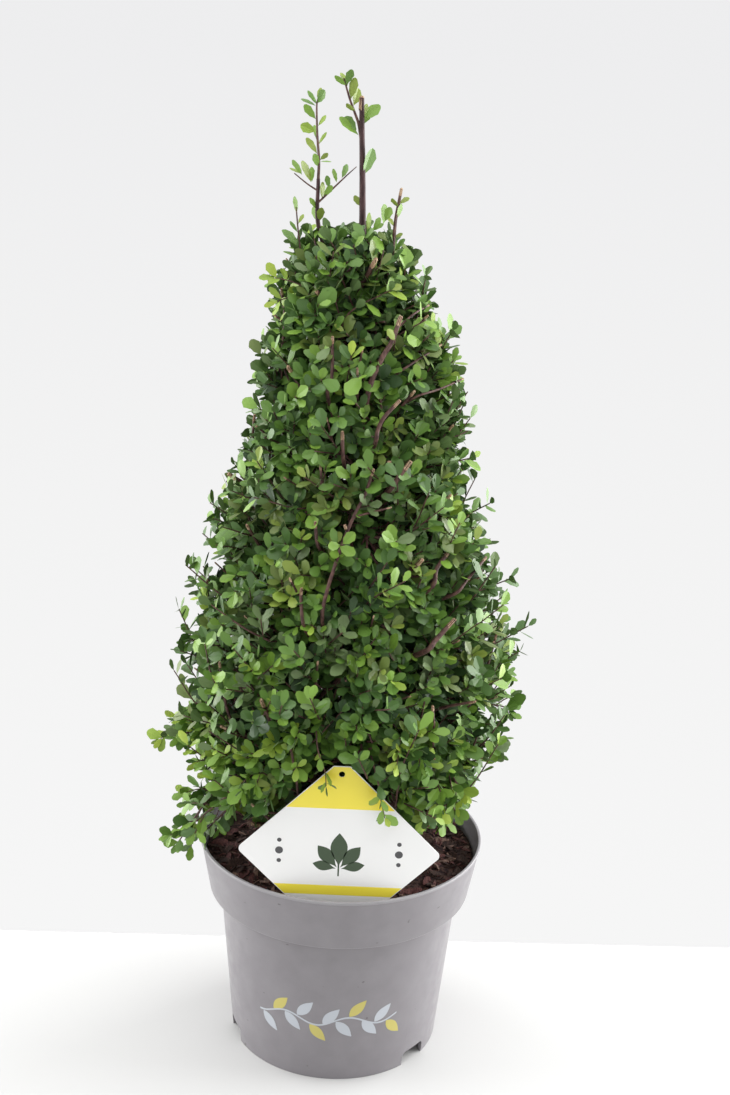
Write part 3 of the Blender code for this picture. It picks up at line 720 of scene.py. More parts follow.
@dataclass
class Pot:
    """A turned nursery pot with a deep collar, a rolled lip and a notched foot."""

    facets: int = 160
    height: float = 0.1754
    rim_radius: float = 0.1148
    wall: float = 0.0023
    lip_drop: float = 0.0021
    lip_step: float = 0.0008
    edge: float = 0.0006
    collar_foot_z: float = 0.1310
    collar_foot_radius: float = 0.1063
    neck_radius: float = 0.0975
    foot_radius: float = 0.0857
    floor_underside: float = 0.0140
    floor_top: float = 0.0165
    hub_radius: float = 0.0150
    draft: float = 0.0010
    shelf_run: float = 0.0200
    soft_edges: tuple[float, ...] = (0.0, 0.0008, 0.0009, 0.0, 0.0004, 0.0007,
                                     0.0007, 0.001, 0.001, 0.001, 0.0)
    # Where the paler plastic goes, as painted highlight: a band round the lip and a thin line at the collar's
    # foot.
    highlight_above_lip: float = 0.0001
    highlight_foot_middle: float = 0.0004
    highlight_foot_half: float = 0.0006
    highlight_foot_width: float = 0.0022
    notch_angles: tuple[float, ...] = (-40.0, 80.0, 200.0)
    notch_width: float = 0.0250
    notch_height: float = 0.0118
    notch_corner: float = 0.0040
    notch_reach: float = 0.0100

    def collar_inside(self, height: float) -> float:
        """Returns the inner radius of the collar's wall at a height."""
        share = (height - self.collar_foot_z) / (self.height - self.collar_foot_z)
        return self.collar_foot_radius - self.wall + share * (self.rim_radius - self.collar_foot_radius)

    def neck_outside(self, height: float) -> float:
        """Returns the outer radius of the body below the collar at a height."""
        return self.foot_radius + (self.neck_radius - self.foot_radius) * height / self.collar_foot_z

    def profile(self) -> Outline:
        """Returns the pot's profile, from the middle of its underside out, up and back in."""
        inner_foot = self.foot_radius - self.wall
        shelf = self.collar_foot_z + self.wall
        lip = self.height - self.lip_drop
        corners = ((self.foot_radius, 0.0), (self.neck_radius, self.collar_foot_z),
                   (self.collar_foot_radius, self.collar_foot_z),
                   (self.rim_radius - self.lip_step, lip - self.edge), (self.rim_radius, lip),
                   (self.rim_radius, self.height), (self.rim_radius - self.wall, self.height),
                   (self.collar_inside(shelf), shelf), (self.neck_radius - self.wall, shelf),
                   (inner_foot, self.floor_top), (inner_foot - self.shelf_run, self.floor_top))
        return [(0.0, 0.0), (self.hub_radius, 0.0), (self.hub_radius + self.draft, self.floor_underside),
                (inner_foot - self.draft, self.floor_underside), (inner_foot, 0.0),
                *rounded(corners, self.soft_edges, 4), (0.0, self.floor_top)]

    def notch_cutters(self) -> list[Piece]:
        """Returns the shapes that cut the arched notches out of the foot."""
        half, below = self.notch_width / 2, -self.notch_corner
        corners = ((-half, below), (half, below), (half, self.notch_height), (-half, self.notch_height))
        outline = rounded(corners, (0, 0, self.notch_corner, self.notch_corner))
        cutters = []
        for angle in self.notch_angles:
            mesh = extruded("notch_cutter", outline, -self.foot_radius - self.notch_reach,
                            self.notch_reach - self.foot_radius)
            mesh.transform(Matrix.Rotation(math.radians(angle + 90), 4, "Z"))
            cutters.append(put(mesh))
        return cutters

    def build(self) -> Piece:
        """Returns the pot, whose lip and a thin line round the collar's foot take a paler plastic: a painted
        highlight where those edges catch the light.
        """
        cutters = self.notch_cutters()
        shell = turned("pot_shell", self.profile(), self.facets)
        pot = carved(put(shell, POT.material(), POT_HIGHLIGHT.material()), cutters)
        for cutter in cutters:
            bpy.data.objects.remove(cutter, do_unlink=True)
        # Painted highlight: the lip and a thin line at the collar's foot take the paler plastic.
        for face in pot.data.polygons:
            above_foot = face.center.z - self.collar_foot_z - self.highlight_foot_middle
            outside = face.center.xy.length > self.collar_foot_radius - self.highlight_foot_width
            on_lip = face.center.z > self.height - self.lip_drop - self.highlight_above_lip
            face.material_index = int(on_lip or (outside and abs(above_foot) < self.highlight_foot_half))
        soften(pot.data, 30.0)
        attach(pot, "root")
        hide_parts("pot")
        LOG.info("pot: %d faces", len(pot.data.polygons))
        return pot


@dataclass
class PotGarland:
    """A plain printed garland round the front of the pot: a wavy stem with leaves in two colours."""

    pot: Pot
    middle_z: float = 0.0560
    half_turn: float = 40.0
    wave: float = 0.0040
    waves: float = 2.5
    stem_steps: int = 80
    stem_span: float = 1.84
    stem_half_width: float = 0.0007
    leaves: int = 11
    leaf_start: float = -0.94
    leaf_span: float = 1.64
    leaf_length: float = 0.0190
    leaf_width: float = 0.0085
    leaf_steps: int = 12
    leaf_blunt: float = 0.0002
    leaf_lean: float = 48.0
    leaf_shift: float = 0.0012
    proud: float = 0.00012

    def height_at(self, share: float) -> float:
        """Returns the stem's height at a share of its reach from the front."""
        return self.middle_z + self.wave * math.sin(math.pi * self.waves * share)

    def on_wall(self, turn: float, height: float, lift: float) -> Vector:
        """Returns the point at a turn from the front, in metres round the wall, lifted off it."""
        radius = self.pot.neck_outside(height) + lift
        angle = -math.pi / 2 + turn / self.pot.neck_outside(self.middle_z)
        return Vector((radius * math.cos(angle), radius * math.sin(angle), height))

    def patch(self, name: str, outline: Pairs) -> Mesh:
        """Makes a thin printed shape laid on the wall.

        Args:
            name: the mesh's name.
            outline: (round, up) points of the shape, in metres, about its middle line from first to last.

        Returns:
            The mesh.
        """
        count = len(outline)
        points = [self.on_wall(u, v, self.proud) for u, v in outline]
        points += [self.on_wall(u, v, -self.proud) for u, v in outline]
        half = count // 2
        faces = []
        for step in range(half - 1):
            a, b, c, d = step, step + 1, count - 2 - step, count - 1 - step
            faces.append((a, b, c, d))
            faces.append((count + d, count + c, count + b, count + a))
        faces += [(step, count + step, count + (step + 1) % count, (step + 1) % count)
                  for step in range(count)]
        mesh = mesh_from(name, points, faces)
        point_outwards(mesh)
        return mesh

    def leaf_outline(self, turn: float, height: float, lean: float) -> Outline:
        """Returns the outline of a printed leaf whose foot is at a place and which leans to one side."""
        upper, lower = [], []
        for step in range(self.leaf_steps + 1):
            share, width = step / self.leaf_steps, self.leaf_blunt
            if 0 < share < 1:
                width = self.leaf_width / 2 * math.sin(math.pi * share ** 0.85) ** 0.9
            along = self.leaf_length * share
            for side, row in ((1, upper), (-1, lower)):
                row.append((turn + along * math.cos(lean) - side * width * math.sin(lean),
                            height + along * math.sin(lean) + side * width * math.cos(lean)))
        return upper + lower[::-1]

    def build(self) -> list[Piece]:
        """Returns the printed stem with its pale leaves, and the ochre leaves."""
        reach = math.radians(self.half_turn) * self.pot.neck_outside(self.middle_z)
        stem_top, stem_low = [], []
        for step in range(self.stem_steps + 1):
            turn = -reach + self.stem_span * reach * step / self.stem_steps
            height = self.height_at(turn / reach)
            stem_top.append((turn, height + self.stem_half_width))
            stem_low.append((turn, height - self.stem_half_width))
        pale = [self.patch("stem", stem_top + stem_low[::-1])]
        ochre = []
        for number in range(self.leaves):
            turn = self.leaf_start * reach + self.leaf_span * reach * number / (self.leaves - 1)
            side = 1 if number % 2 else -1
            foot = self.height_at(turn / reach) + side * self.leaf_shift
            leaf = self.patch("leaf", self.leaf_outline(turn, foot, side * math.radians(self.leaf_lean)))
            (ochre if number % 3 == 1 else pale).append(leaf)
        pieces = []
        for name, meshes, finish in (("pot_garland_pale", pale, POT_PALE),
                                     ("pot_garland_ochre", ochre, POT_OCHRE)):
            piece = put(joined(name, meshes), finish.material())
            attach(piece, "root")
            pieces.append(piece)
            LOG.info("%s: %d shapes", name, len(meshes))
        return pieces


def joined(name: str, meshes: Sequence[Mesh]) -> Mesh:
    """Joins loose meshes into one.

    Args:
        name: the new mesh's name.
        meshes: what goes in, which is used up.

    Returns:
        The mesh.
    """
    work = bmesh.new()
    for mesh in meshes:
        work.from_mesh(mesh)
        bpy.data.meshes.remove(mesh)
    made = bpy.data.meshes.new(name)
    work.to_mesh(made)
    work.free()
    return made


# ---------------------------------------------------------------- root ball and label


@dataclass
class RootBall:
    """Compost that fills the pot to just under its rim, with bark chips on it."""

    pot: Pot
    top: float = 0.1655
    edge_z: float = 0.1600
    gap: float = 0.0003
    rings: int = 34
    facets: int = 120
    lumps: float = 0.0016
    lump_scale: float = 90.0
    sink: float = 0.0005
    chips: int = 1900
    chip_lengths: tuple[float, float] = (0.004, 0.017)
    chip_margin: float = 0.0015
    chip_lift: float = 0.0004
    chip_shares: tuple[int, ...] = (60, 27, 13)
    chip_forms: tuple = ((0.30, 0.10), (0.42, 0.14), (0.20, 0.12), (0.55, 0.16))

    def surface(self, x: float, y: float) -> float:
        """Returns the height of the compost at a place."""
        edge = self.pot.collar_inside(self.edge_z)
        share = min(1.0, math.hypot(x, y) / edge)
        mound = self.edge_z + (self.top - self.edge_z) * (1 - share * share)
        rough = noise.fractal(Vector((x, y, 0.0)) * self.lump_scale, 0.9, 2.1, 4)
        return min(self.top, mound - self.sink) + self.lumps * rough * (1 - share ** 8)

    def build(self) -> list[Piece]:
        """Returns the compost and its chips."""
        pot, shelf = self.pot, self.pot.collar_foot_z + self.pot.wall + self.gap
        foot = pot.foot_radius - pot.wall - self.gap
        edge = pot.collar_inside(self.edge_z) - 2 * self.gap
        profile = [(0.0, pot.floor_top + self.gap), (foot, pot.floor_top + self.gap),
                   (pot.neck_radius - pot.wall - self.gap, shelf),
                   (pot.collar_inside(shelf) - 2 * self.gap, shelf)]
        profile += [(edge * (1 - step / self.rings), self.edge_z) for step in range(self.rings)]
        profile.append((0.0, self.edge_z))
        mesh = turned("compost_ball", profile, self.facets)
        for vertex in mesh.vertices:
            if vertex.co.z > self.edge_z - 1e-6:
                vertex.co.z = self.surface(vertex.co.x, vertex.co.y)
        ball = put(mesh, SOIL.material())
        soften(mesh, 60.0)
        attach(ball, "root")
        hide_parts("root_ball")
        LOG.info("compost: %d faces", len(mesh.polygons))
        return [ball, self.build_chips()]

    def build_chips(self) -> Piece:
        """Returns the bark chips that lie on the compost."""
        rng = random.Random(SEED)
        shapes = bpy.data.collections.new("chip_shapes")
        for number in range(len(self.chip_forms)):
            shapes.objects.link(bpy.data.objects.new(f"chip_{number}", self.chip_shape(number, rng)))
        rows = []
        reach = self.pot.collar_inside(self.edge_z) - self.chip_margin
        shortest, longest = self.chip_lengths
        for number in range(self.chips):
            radius = reach * math.sqrt((number + 0.5) / self.chips)
            angle = number * GOLDEN_ANGLE + rng.uniform(-0.2, 0.2)
            x, y = radius * math.cos(angle), radius * math.sin(angle)
            length = shortest + (longest - shortest) * rng.random() ** 2.6
            heading = rng.uniform(0, 2 * math.pi)
            ahead = Vector((math.cos(heading), math.sin(heading), rng.uniform(-0.25, 0.45)))
            shift = 1 - max(0.0, radius + 0.5 * length - reach) / radius
            x, y = x * shift, y * shift
            tilt = Vector((rng.gauss(0, 0.4), rng.gauss(0, 0.4), 1.0))
            tone = rng.choices(range(len(Chip)), self.chip_shares)[0]
            place = Vector((x, y, self.surface(x, y) + self.chip_lift))
            rows.append({"place": place, "ahead": ahead, "facing": tilt, "size": length,
                         "shape": rng.randrange(len(self.chip_forms)), "tone": tone})
        tree = scatter_tree("Chips on compost", [each.value.material() for each in Chip])
        chips = put(grown(points_mesh("chip_points", rows), tree, {"Shapes": shapes}, "bark_chips"))
        soften(chips.data, 40.0)
        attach(chips, "root")
        LOG.info("bark chips: %d", len(rows))
        return chips

    def chip_shape(self, number: int, rng: random.Random) -> Mesh:
        """Returns a torn chip of unit length that lies along Y."""
        width, thick = self.chip_forms[number]
        points = []
        for step, swell in enumerate((0.45, 0.9, 1.0, 0.85, 0.35)):
            along = step / 4 - 0.5
            for side, lift in ((-1, -1), (1, -1), (1, 1), (-1, 1)):
                x = side * width / 2 * swell * rng.uniform(0.75, 1.2)
                y = along + rng.uniform(-0.05, 0.05)
                z = lift * thick / 2 * swell * rng.uniform(0.6, 1.3) + 0.06 * math.sin(3 * along)
                points.append((x, y, z))
        faces = [(0, 1, 2, 3), (19, 18, 17, 16)]
        for step in range(4):
            for side in range(4):
                low, high, following = 4 * step, 4 * step + 4, (side + 1) % 4
                faces.append((low + side, high + side, high + following, low + following))
        mesh = mesh_from(f"chip_{number}", points, faces)
        point_outwards(mesh)
        return mesh


@dataclass
class PlantLabel:
    """A square card standing on one corner in the compost, with a cut and punched top corner."""

    half_diagonal: float = 0.0770
    centre_z: float = 0.2080
    y: float = -0.0970
    thickness: float = 0.0008
    corner: float = 0.0040
    sunk_corner: float = 0.0100
    top_corner: float = 0.0015
    top_z: float = 0.2787
    hole_radius: float = 0.0023
    hole_z: float = 0.2722
    ink: float = 0.00006
    ink_inset: float = 0.0006
    header_rise: float = 0.036
    band_drops: tuple[float, float] = (0.028, 0.036)
    sprig_drop: float = 0.014
    sprig_start: float = 0.003
    sprig_leaves: tuple = ((-78, 0.017), (-40, 0.022), (0, 0.027), (40, 0.022), (78, 0.017))
    disc_sides: tuple[float, float] = (-0.045, 0.045)
    discs: tuple = ((0.0030, 0.0), (0.0017, 0.0085), (0.0017, -0.0085))

    def outline(self) -> Outline:
        """Returns the card's outline."""
        half_top = self.centre_z + self.half_diagonal - self.top_z
        corners = ((0.0, self.centre_z - self.half_diagonal), (self.half_diagonal, self.centre_z),
                   (half_top, self.top_z), (-half_top, self.top_z), (-self.half_diagonal, self.centre_z))
        radii = (self.sunk_corner, self.corner, self.top_corner, self.top_corner, self.corner)
        return rounded(corners, radii, 6)

    def build(self) -> list[Piece]:
        """Returns the card and what is printed on it."""
        half = self.thickness / 2
        card = put(extruded("label_card", self.outline(), self.y - half, self.y + half), CARD.material())
        hole = ring(self.hole_radius, 24, (0.0, self.hole_z))
        punch = put(extruded("punch", hole, self.y - 0.01, self.y + 0.01))
        header = put(self.header(), CARD_YELLOW.material())
        pieces = [carved(card, [punch]), carved(header, [punch])]
        bpy.data.objects.remove(punch, do_unlink=True)
        for name, shapes, ink in (("label_band", [self.band()], CARD_YELLOW),
                                  ("label_sprig", self.sprig(), CARD_GREEN),
                                  ("label_rule", self.rules(), CARD_GREY)):
            pieces.append(put(joined(name, shapes), ink.material()))
        for piece in pieces:
            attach(piece, "root")
            LOG.info("%s: %d faces", piece.name, len(piece.data.polygons))
        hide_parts("plant_label")
        return pieces

    def print_of(self, name: str, outline: Pairs) -> Mesh:
        """Returns a printed shape, a hair proud of the card's front."""
        front = self.y - self.thickness / 2
        return extruded(name, outline, front - self.ink, front + self.ink)

    def header(self) -> Mesh:
        """Returns the coloured top corner with its level lower edge."""
        inset, low = self.ink_inset, self.centre_z + self.header_rise
        half_top = self.centre_z + self.half_diagonal - self.top_z
        half_low = self.centre_z + self.half_diagonal - low
        corners = ((half_low - inset, low), (half_top - inset / 2, self.top_z - inset),
                   (-half_top + inset / 2, self.top_z - inset), (-half_low + inset, low))
        return self.print_of("label_header", rounded(corners, (0, 0.001, 0.001, 0), 4))

    def band(self) -> Mesh:
        """Returns the slim coloured band across the lower corner."""
        inset, (high, low) = self.ink_inset, (self.centre_z - drop for drop in self.band_drops)
        at_high, at_low = (self.half_diagonal + height - self.centre_z for height in (high, low))
        return self.print_of("band", [(-at_low + inset, low), (at_low - inset, low), (at_high - inset, high),
                                      (-at_high + inset, high)])

    def sprig(self) -> list[Mesh]:
        """Returns the printed sprig: five plain leaves fanned round a short stalk."""
        foot = Vector((0.0, self.centre_z - self.sprig_drop))
        low, high, half = foot.y - 0.006, foot.y + 0.004, 0.0006
        shapes = [self.print_of("stalk", [(-half, low), (half, low), (half, high), (-half, high)])]
        for lean, length in self.sprig_leaves:
            angle = math.radians(90 - lean)
            ahead = Vector((math.cos(angle), math.sin(angle)))
            across = Vector((-ahead.y, ahead.x))
            right, left = [], []
            for step in range(1, 12):
                share = step / 12
                width = 0.24 * length * math.sin(math.pi * share ** 1.15)
                middle = foot + ahead * (self.sprig_start + length * share)
                right.append(tuple(middle + across * width))
                left.append(tuple(middle - across * width))
            tip = tuple(foot + ahead * (self.sprig_start + length))
            shapes.append(self.print_of("leaf", [tuple(foot + ahead * 0.002), *left, tip, *right[::-1]]))
        return shapes

    def rules(self) -> list[Mesh]:
        """Returns the plain grey discs, in a column of three at either side of the sprig."""
        return [self.print_of("disc", ring(radius, 20, (x, self.centre_z + rise)))
                for x in self.disc_sides for radius, rise in self.discs]


# ---------------------------------------------------------------- trunk, boughs and crown


@dataclass
class Limb:
    """One woody limb: its centre line and the radius at each point."""

    line: list[Vector]
    radii: list[float]

    def at(self, share: float) -> Vector:
        """Returns the point at a share of the limb's points."""
        place = share * (len(self.line) - 1)
        index = min(int(place), len(self.line) - 2)
        return self.line[index].lerp(self.line[index + 1], place - index)


@dataclass
class Limbs:
    """The trunk, the skirt's boughs and the second leader, with the bark's relief."""

    soil_top: float = 0.1655
    gap: float = 0.0003
    trunk_radii: tuple[float, ...] = (0.0105, 0.0078, 0.0068, 0.0054, 0.0038, 0.0026, 0.0019)
    bough_heights: tuple[float, ...] = (0.174, 0.182, 0.178, 0.186)
    bough_angles: tuple[float, ...] = (65.0, 155.0, 245.0, 335.0)
    bough_reach: float = 0.046
    bough_rise: float = 0.018
    bough_radii: tuple[float, float] = (0.0036, 0.0024)
    leader_line: tuple = ((-0.001, 0.0, 0.592), (-0.021, 0.0, 0.628), (-0.0338, 0.0, 0.660),
                          (-0.035, 0.0, 0.693))
    leader_radii: tuple[float, ...] = (0.0022, 0.0019, 0.0017, 0.0014)
    ridges: float = 0.10

    @property
    def trunk_line(self) -> tuple:
        """The trunk's centre line, from its flat cut on the compost to the cut end of its leader."""
        return ((0.0035, 0.0, self.soil_top + self.gap), (0.0035, 0.0, 0.178), (0.001, 0.002, 0.300),
                (-0.001, 0.001, 0.450), (-0.001, -0.001, 0.580), (-0.002, 0.0, 0.662), (-0.006, 0.0, 0.750))

    def trunk_point(self, height: float) -> Vector:
        """Returns the trunk's centre at a height."""
        x, y = (between([(point[2], point[axis]) for point in self.trunk_line], height) for axis in (0, 1))
        return Vector((x, y, height))

    def bough_line(self, angle: float, height: float) -> list[Vector]:
        """Returns a skirt bough's line, which leaves the trunk and rises outwards in a slow curve."""
        start, side = self.trunk_point(height), Vector((math.cos(angle), math.sin(angle), 0.0))
        return [start + side * (self.bough_reach * step / 4) + UP * self.bough_rise * (step / 4) ** 1.3
                for step in range(5)]

    def bough_lines(self) -> list[list[Vector]]:
        """Returns the lines of the skirt's boughs."""
        return [self.bough_line(math.radians(angle), height)
                for angle, height in zip(self.bough_angles, self.bough_heights)]

    def rough_tube(self, name: str, limb: Limb, sides: int) -> Mesh:
        """Makes a closed limb with ridged bark.

        Args:
            name: the mesh's name.
            limb: its line and radii.
            sides: how many points go round it.

        Returns:
            The mesh.
        """
        line, points, faces = limb.line, [], []
        across = (line[1] - line[0]).orthogonal().normalized()
        for index, centre in enumerate(line):
            ahead = (line[min(index + 1, len(line) - 1)] - line[max(index - 1, 0)]).normalized()
            across = (across - across.dot(ahead) * ahead).normalized()
            other = ahead.cross(across)
            for step in range(sides):
                angle = 2 * math.pi * step / sides
                out = math.cos(angle) * across + math.sin(angle) * other
                place = centre + limb.radii[index] * out
                ridge = noise.fractal(Vector((out.x * 2.2, out.y * 2.2, place.z * 120)), 0.8, 2.0, 3)
                points.append(centre + limb.radii[index] * (1.0 - self.ridges * (0.5 + 0.5 * ridge)) * out)
        for low in range(0, (len(line) - 1) * sides, sides):
            for step in range(sides):
                following, high = (step + 1) % sides, low + sides
                faces.append((low + step, low + following, high + following, high + step))
        faces.append(tuple(reversed(range(sides))))
        faces.append(tuple(range(len(points) - sides, len(points))))
        return mesh_from(name, points, faces)

    def fine(self, points: Sequence[Sequence[float]], radii: Sequence[float], steps: int) -> Limb:
        """Returns a limb with its line and radii run smoothly through a few given points."""
        return Limb(curved([Vector(point) for point in points], steps), spread_radii(radii, steps))

    def build(self) -> list[Piece]:
        """Returns the trunk, and the boughs and second leader as one piece."""
        trunk = self.rough_tube("trunk_bark", self.fine(self.trunk_line, self.trunk_radii, 26), 20)
        radii = tapered(*self.bough_radii, 5)
        limbs = [self.rough_tube("bough", self.fine(line, radii, 6), 12) for line in self.bough_lines()]
        limbs.append(self.rough_tube("leader", self.fine(self.leader_line, self.leader_radii, 8), 10))
        trunk, boughs = put(trunk, BARK.material()), put(joined("bough_bark", limbs), BARK.material())
        for piece, nodes in ((trunk, ("trunk",)),
                             (boughs, ("bough_1", "bough_2", "bough_3", "bough_4", "left_leader"))):
            soften(piece.data, 60.0)
            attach(piece, "root")
            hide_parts(*nodes)
            LOG.info("%s: %d faces", piece.name, len(piece.data.polygons))
        return [trunk, boughs]


@dataclass
class Space:
    """The room that one mass of foliage keeps to: the inner side of each (point, normal) plane."""

    planes: list[tuple[Vector, Vector]]

    def depth(self, point: Vector) -> float:
        """Returns the distance from the point to the nearest boundary, negative outside."""
        return min((point - place).dot(normal) for place, normal in self.planes)


END_SWELL = 1.04


@dataclass
class Mass:
    """One mass of foliage: its space, stem and main twigs, and all that has grown on them."""

    name: str
    space: Space
    stem: Limb
    mains: list[Limb] = field(default_factory=list)
    leaves: list[dict[str, Any]] = field(default_factory=list)
    boughs: list[Limb] = field(default_factory=list)
    twigs: list[Limb] = field(default_factory=list)
    ends: list[dict[str, Any]] = field(default_factory=list)

    def cut(self, tip: Vector, ahead: Vector, thick: float) -> None:
        """Adds the pale torn end of a clipped twig."""
        self.ends.append({"place": tip, "ahead": ahead.orthogonal(), "facing": ahead,
                          "size": thick * END_SWELL, "shape": 0, "tone": 0})


@dataclass(frozen=True)
class Spray:
    """How one twig is leafed.

    The tone is an index into LeafTone, the spacing is the run between leaves, the spread is their angle off
    the twig in degrees, the slack is how far they may pass the outline, and a free spray may leave the
    clipped cone.
    """

    count: int
    tone: int
    spacing: float = 0.0034
    scale: float = 1.0
    spread: float = 50.0
    slack: float = 0.002
    free: bool = False
    over_card: bool = False


@dataclass(frozen=True)
class DrawnShoot:
    """A shoot at the head of the plant, given point by point, in tenths of a millimetre.

    It holds the (x, z) points of its stem, its radii at foot and tip, each leaf's foot and tip as (x, z)
    points, its y, and whether its end is clipped.
    """

    stem: tuple
    thick: tuple[float, float]
    leaves: tuple
    y: float = 0
    cut: bool = False


HEAD = (
    DrawnShoot(((-350, 6900), (-349, 7061), (-366, 7233), (-376, 7420), (-370, 7480)), (12, 5),
               (((-372, 7437), (-434, 7532)), ((-369, 7471), (-357, 7560)), ((-373, 7449), (-310, 7546)),
                ((-382, 7430), (-494, 7480)), ((-379, 7340), (-460, 7432)), ((-363, 7295), (-313, 7370)),
                ((-370, 7198), (-383, 7312)), ((-381, 7253), (-492, 7303)), ((-357, 7165), (-310, 7256)),
                ((-362, 7102), (-441, 7209)), ((-349, 7010), (-386, 7110)), ((-341, 7050), (-255, 7054)),
                ((-342, 7062), (-286, 7110)), ((-345, 6712), (-400, 6794)), ((-342, 6629), (-394, 6733)),
                ((-333, 6630), (-317, 6741)))),
    DrawnShoot(((-352, 6847), (-432, 6895), (-523, 6962)), (7, 4),
               (((-399, 6902), (-465, 7045)), ((-394, 6906), (-407, 7013)), ((-467, 6952), (-537, 7065)),
                ((-472, 6959), (-560, 7006)))),
    DrawnShoot(((-345, 6764), (-216, 6893), (-135, 6973), (-78, 7026)), (8, 3),
               (((-318, 6788), (-317, 6905)), ((-268, 6867), (-295, 6957)), ((-217, 6909), (-249, 7010)),
                ((-182, 6941), (-138, 7042)), ((-309, 6807), (-250, 6884)))),
    DrawnShoot(((-45, 7160), (-57, 7230), (-75, 7320), (-104, 7392), (-142, 7481), (-174, 7574),
                (-190, 7625)), (13, 6),
               (((-72, 7243), (-204, 7358)), ((-87, 7279), (-181, 7361)), ((-102, 7401), (-166, 7466)),
                ((-117, 7441), (-89, 7566)), ((-138, 7485), (-115, 7626)), ((-170, 7574), (-256, 7633)),
                ((-175, 7583), (-220, 7666)), ((-175, 7583), (-132, 7690)), ((-169, 7565), (-161, 7660)))),
    DrawnShoot(((-40, 6900), (-45, 7200), (-52, 7400)), (9, 9),
               (((-27, 6963), (22, 7150)), ((-51, 7307), (28, 7460)), ((-30, 7361), (82, 7458)),
                ((-53, 7371), (-12, 7463)), ((-38, 6748), (-84, 6821)))),
    DrawnShoot(((195, 6350), (210, 6498), (217, 6664), (235, 6794), (249, 6889)), (14, 11),
               (((226, 6677), (255, 6779)), ((240, 6783), (310, 6826)), ((231, 6759), (185, 6832)),
                ((214, 6617), (153, 6685)), ((212, 6546), (269, 6577))), -80, True),
    DrawnShoot(((80, 6360), (67, 6444), (25, 6573), (10, 6632)), (8, 5),
               (((22, 6573), (36, 6709)), ((41, 6586), (130, 6649)), ((61, 6587), (104, 6695)),
                ((131, 6637), (139, 6783)), ((144, 6661), (179, 6757))), -120),
    DrawnShoot(((-430, 6250), (-453, 6375), (-481, 6564), (-500, 6729)), (9, 5),
               (((-494, 6682), (-506, 6799)), ((-482, 6612), (-450, 6684)), ((-485, 6552), (-545, 6633)),
                ((-472, 6446), (-606, 6559))), -60))

# How often each LeafTone is dealt, in its own order, by where the spray is.
# The darker greens of the inside rows are partly the older, darker leaves there and partly painted shade.
TONE_SHARES = {"deep inside": (56, 34, 6, 2, 0, 0, 0, 0, 4),
               "inside": (21, 39, 26, 6, 3, 0, 0, 0, 8),
               "standing out": (1, 9, 31, 5, 34, 11, 3, 4, 3),
               "low": (2, 13, 33, 7, 30, 7, 1, 3, 4),
               "middle": (3, 19, 34, 10, 17, 2, 1, 6, 8),
               "high": (2, 12, 33, 9, 20, 3, 0, 10, 11)}

# Indexes into LeafTone: what the youngest and the oldest leaves of a spray may turn to, the rarest tones and
# the plain ones that they give way to, the ones strewn about, and those of the head with their shares.
BRIGHTER = {0: 1, 1: 2, 2: 4, 3: 2, 4: 5, 5: 6, 8: 7}
DARKER = {2: 1, 4: 2, 5: 4, 6: 5, 7: 8}
RARE_TONES = (6, 7)
PLAIN_TONES = (2, 4, 4, 5)
STREWN_TONES = (1, 2, 2, 3, 4)
HEAD_TONES = (2, 4, 5, 7)
HEAD_SHARES = (30, 32, 4, 34)

# The limbs that show through the leaves at the front: a radius, and (x, y, z) points from foot to tip, in
# tenths of a millimetre.
FRONT_BOUGHS = (
    (11, ((-200, -1110, 4000), (-90, -1010, 4410), (10, -940, 4670), (90, -890, 4830), (140, -840, 5000))),
    (7, ((0, -950, 4650), (140, -920, 4700), (280, -880, 4740))),
    (16, ((90, -750, 5540), (180, -670, 5750), (250, -600, 5870), (300, -500, 6030))),
    (7, ((260, -580, 5900), (310, -530, 5960), (420, -370, 6040), (520, -150, 6080))),
    (7, ((340, -630, 5660), (500, -460, 5750), (620, -300, 5820))),
    (7, ((480, -590, 5480), (640, -400, 5510), (800, -180, 5560))),
    (13, ((160, -800, 5180), (170, -780, 5270), (210, -760, 5360), (310, -700, 5470))),
    (11, ((-240, -730, 5490), (-200, -720, 5620), (-200, -640, 5890))),
    (10, ((0, -760, 5520), (-10, -720, 5690))),
    (16, ((290, -840, 4850), (320, -810, 4910), (410, -730, 5040))),
    (11, ((840, -720, 4060), (900, -620, 4130), (1040, -330, 4240))),
    (14, ((650, -870, 4150), (660, -820, 4280), (740, -700, 4390))),
    (16, ((630, -1000, 3710), (670, -960, 3770), (730, -900, 3840), (790, -840, 3910))),
    (9, ((-240, -870, 4820), (-250, -810, 5010))),
    (11, ((-260, -970, 4450), (-270, -920, 4620))),
    (11, ((-340, -1110, 3890), (-360, -1050, 4080), (-350, -1030, 4160))),
    (13, ((-90, -840, 5050), (-100, -800, 5250))))

# The sprigs that hang before the card, in tenths of a millimetre.
CARD_SPRIGS = (((-200, -1040, 3100), (-180, -1090, 2960), (-124, -1080, 2790), (-112, -1070, 2670)),
               ((200, -1000, 2920), (266, -1090, 2725), (294, -1090, 2580), (330, -1080, 2430)))


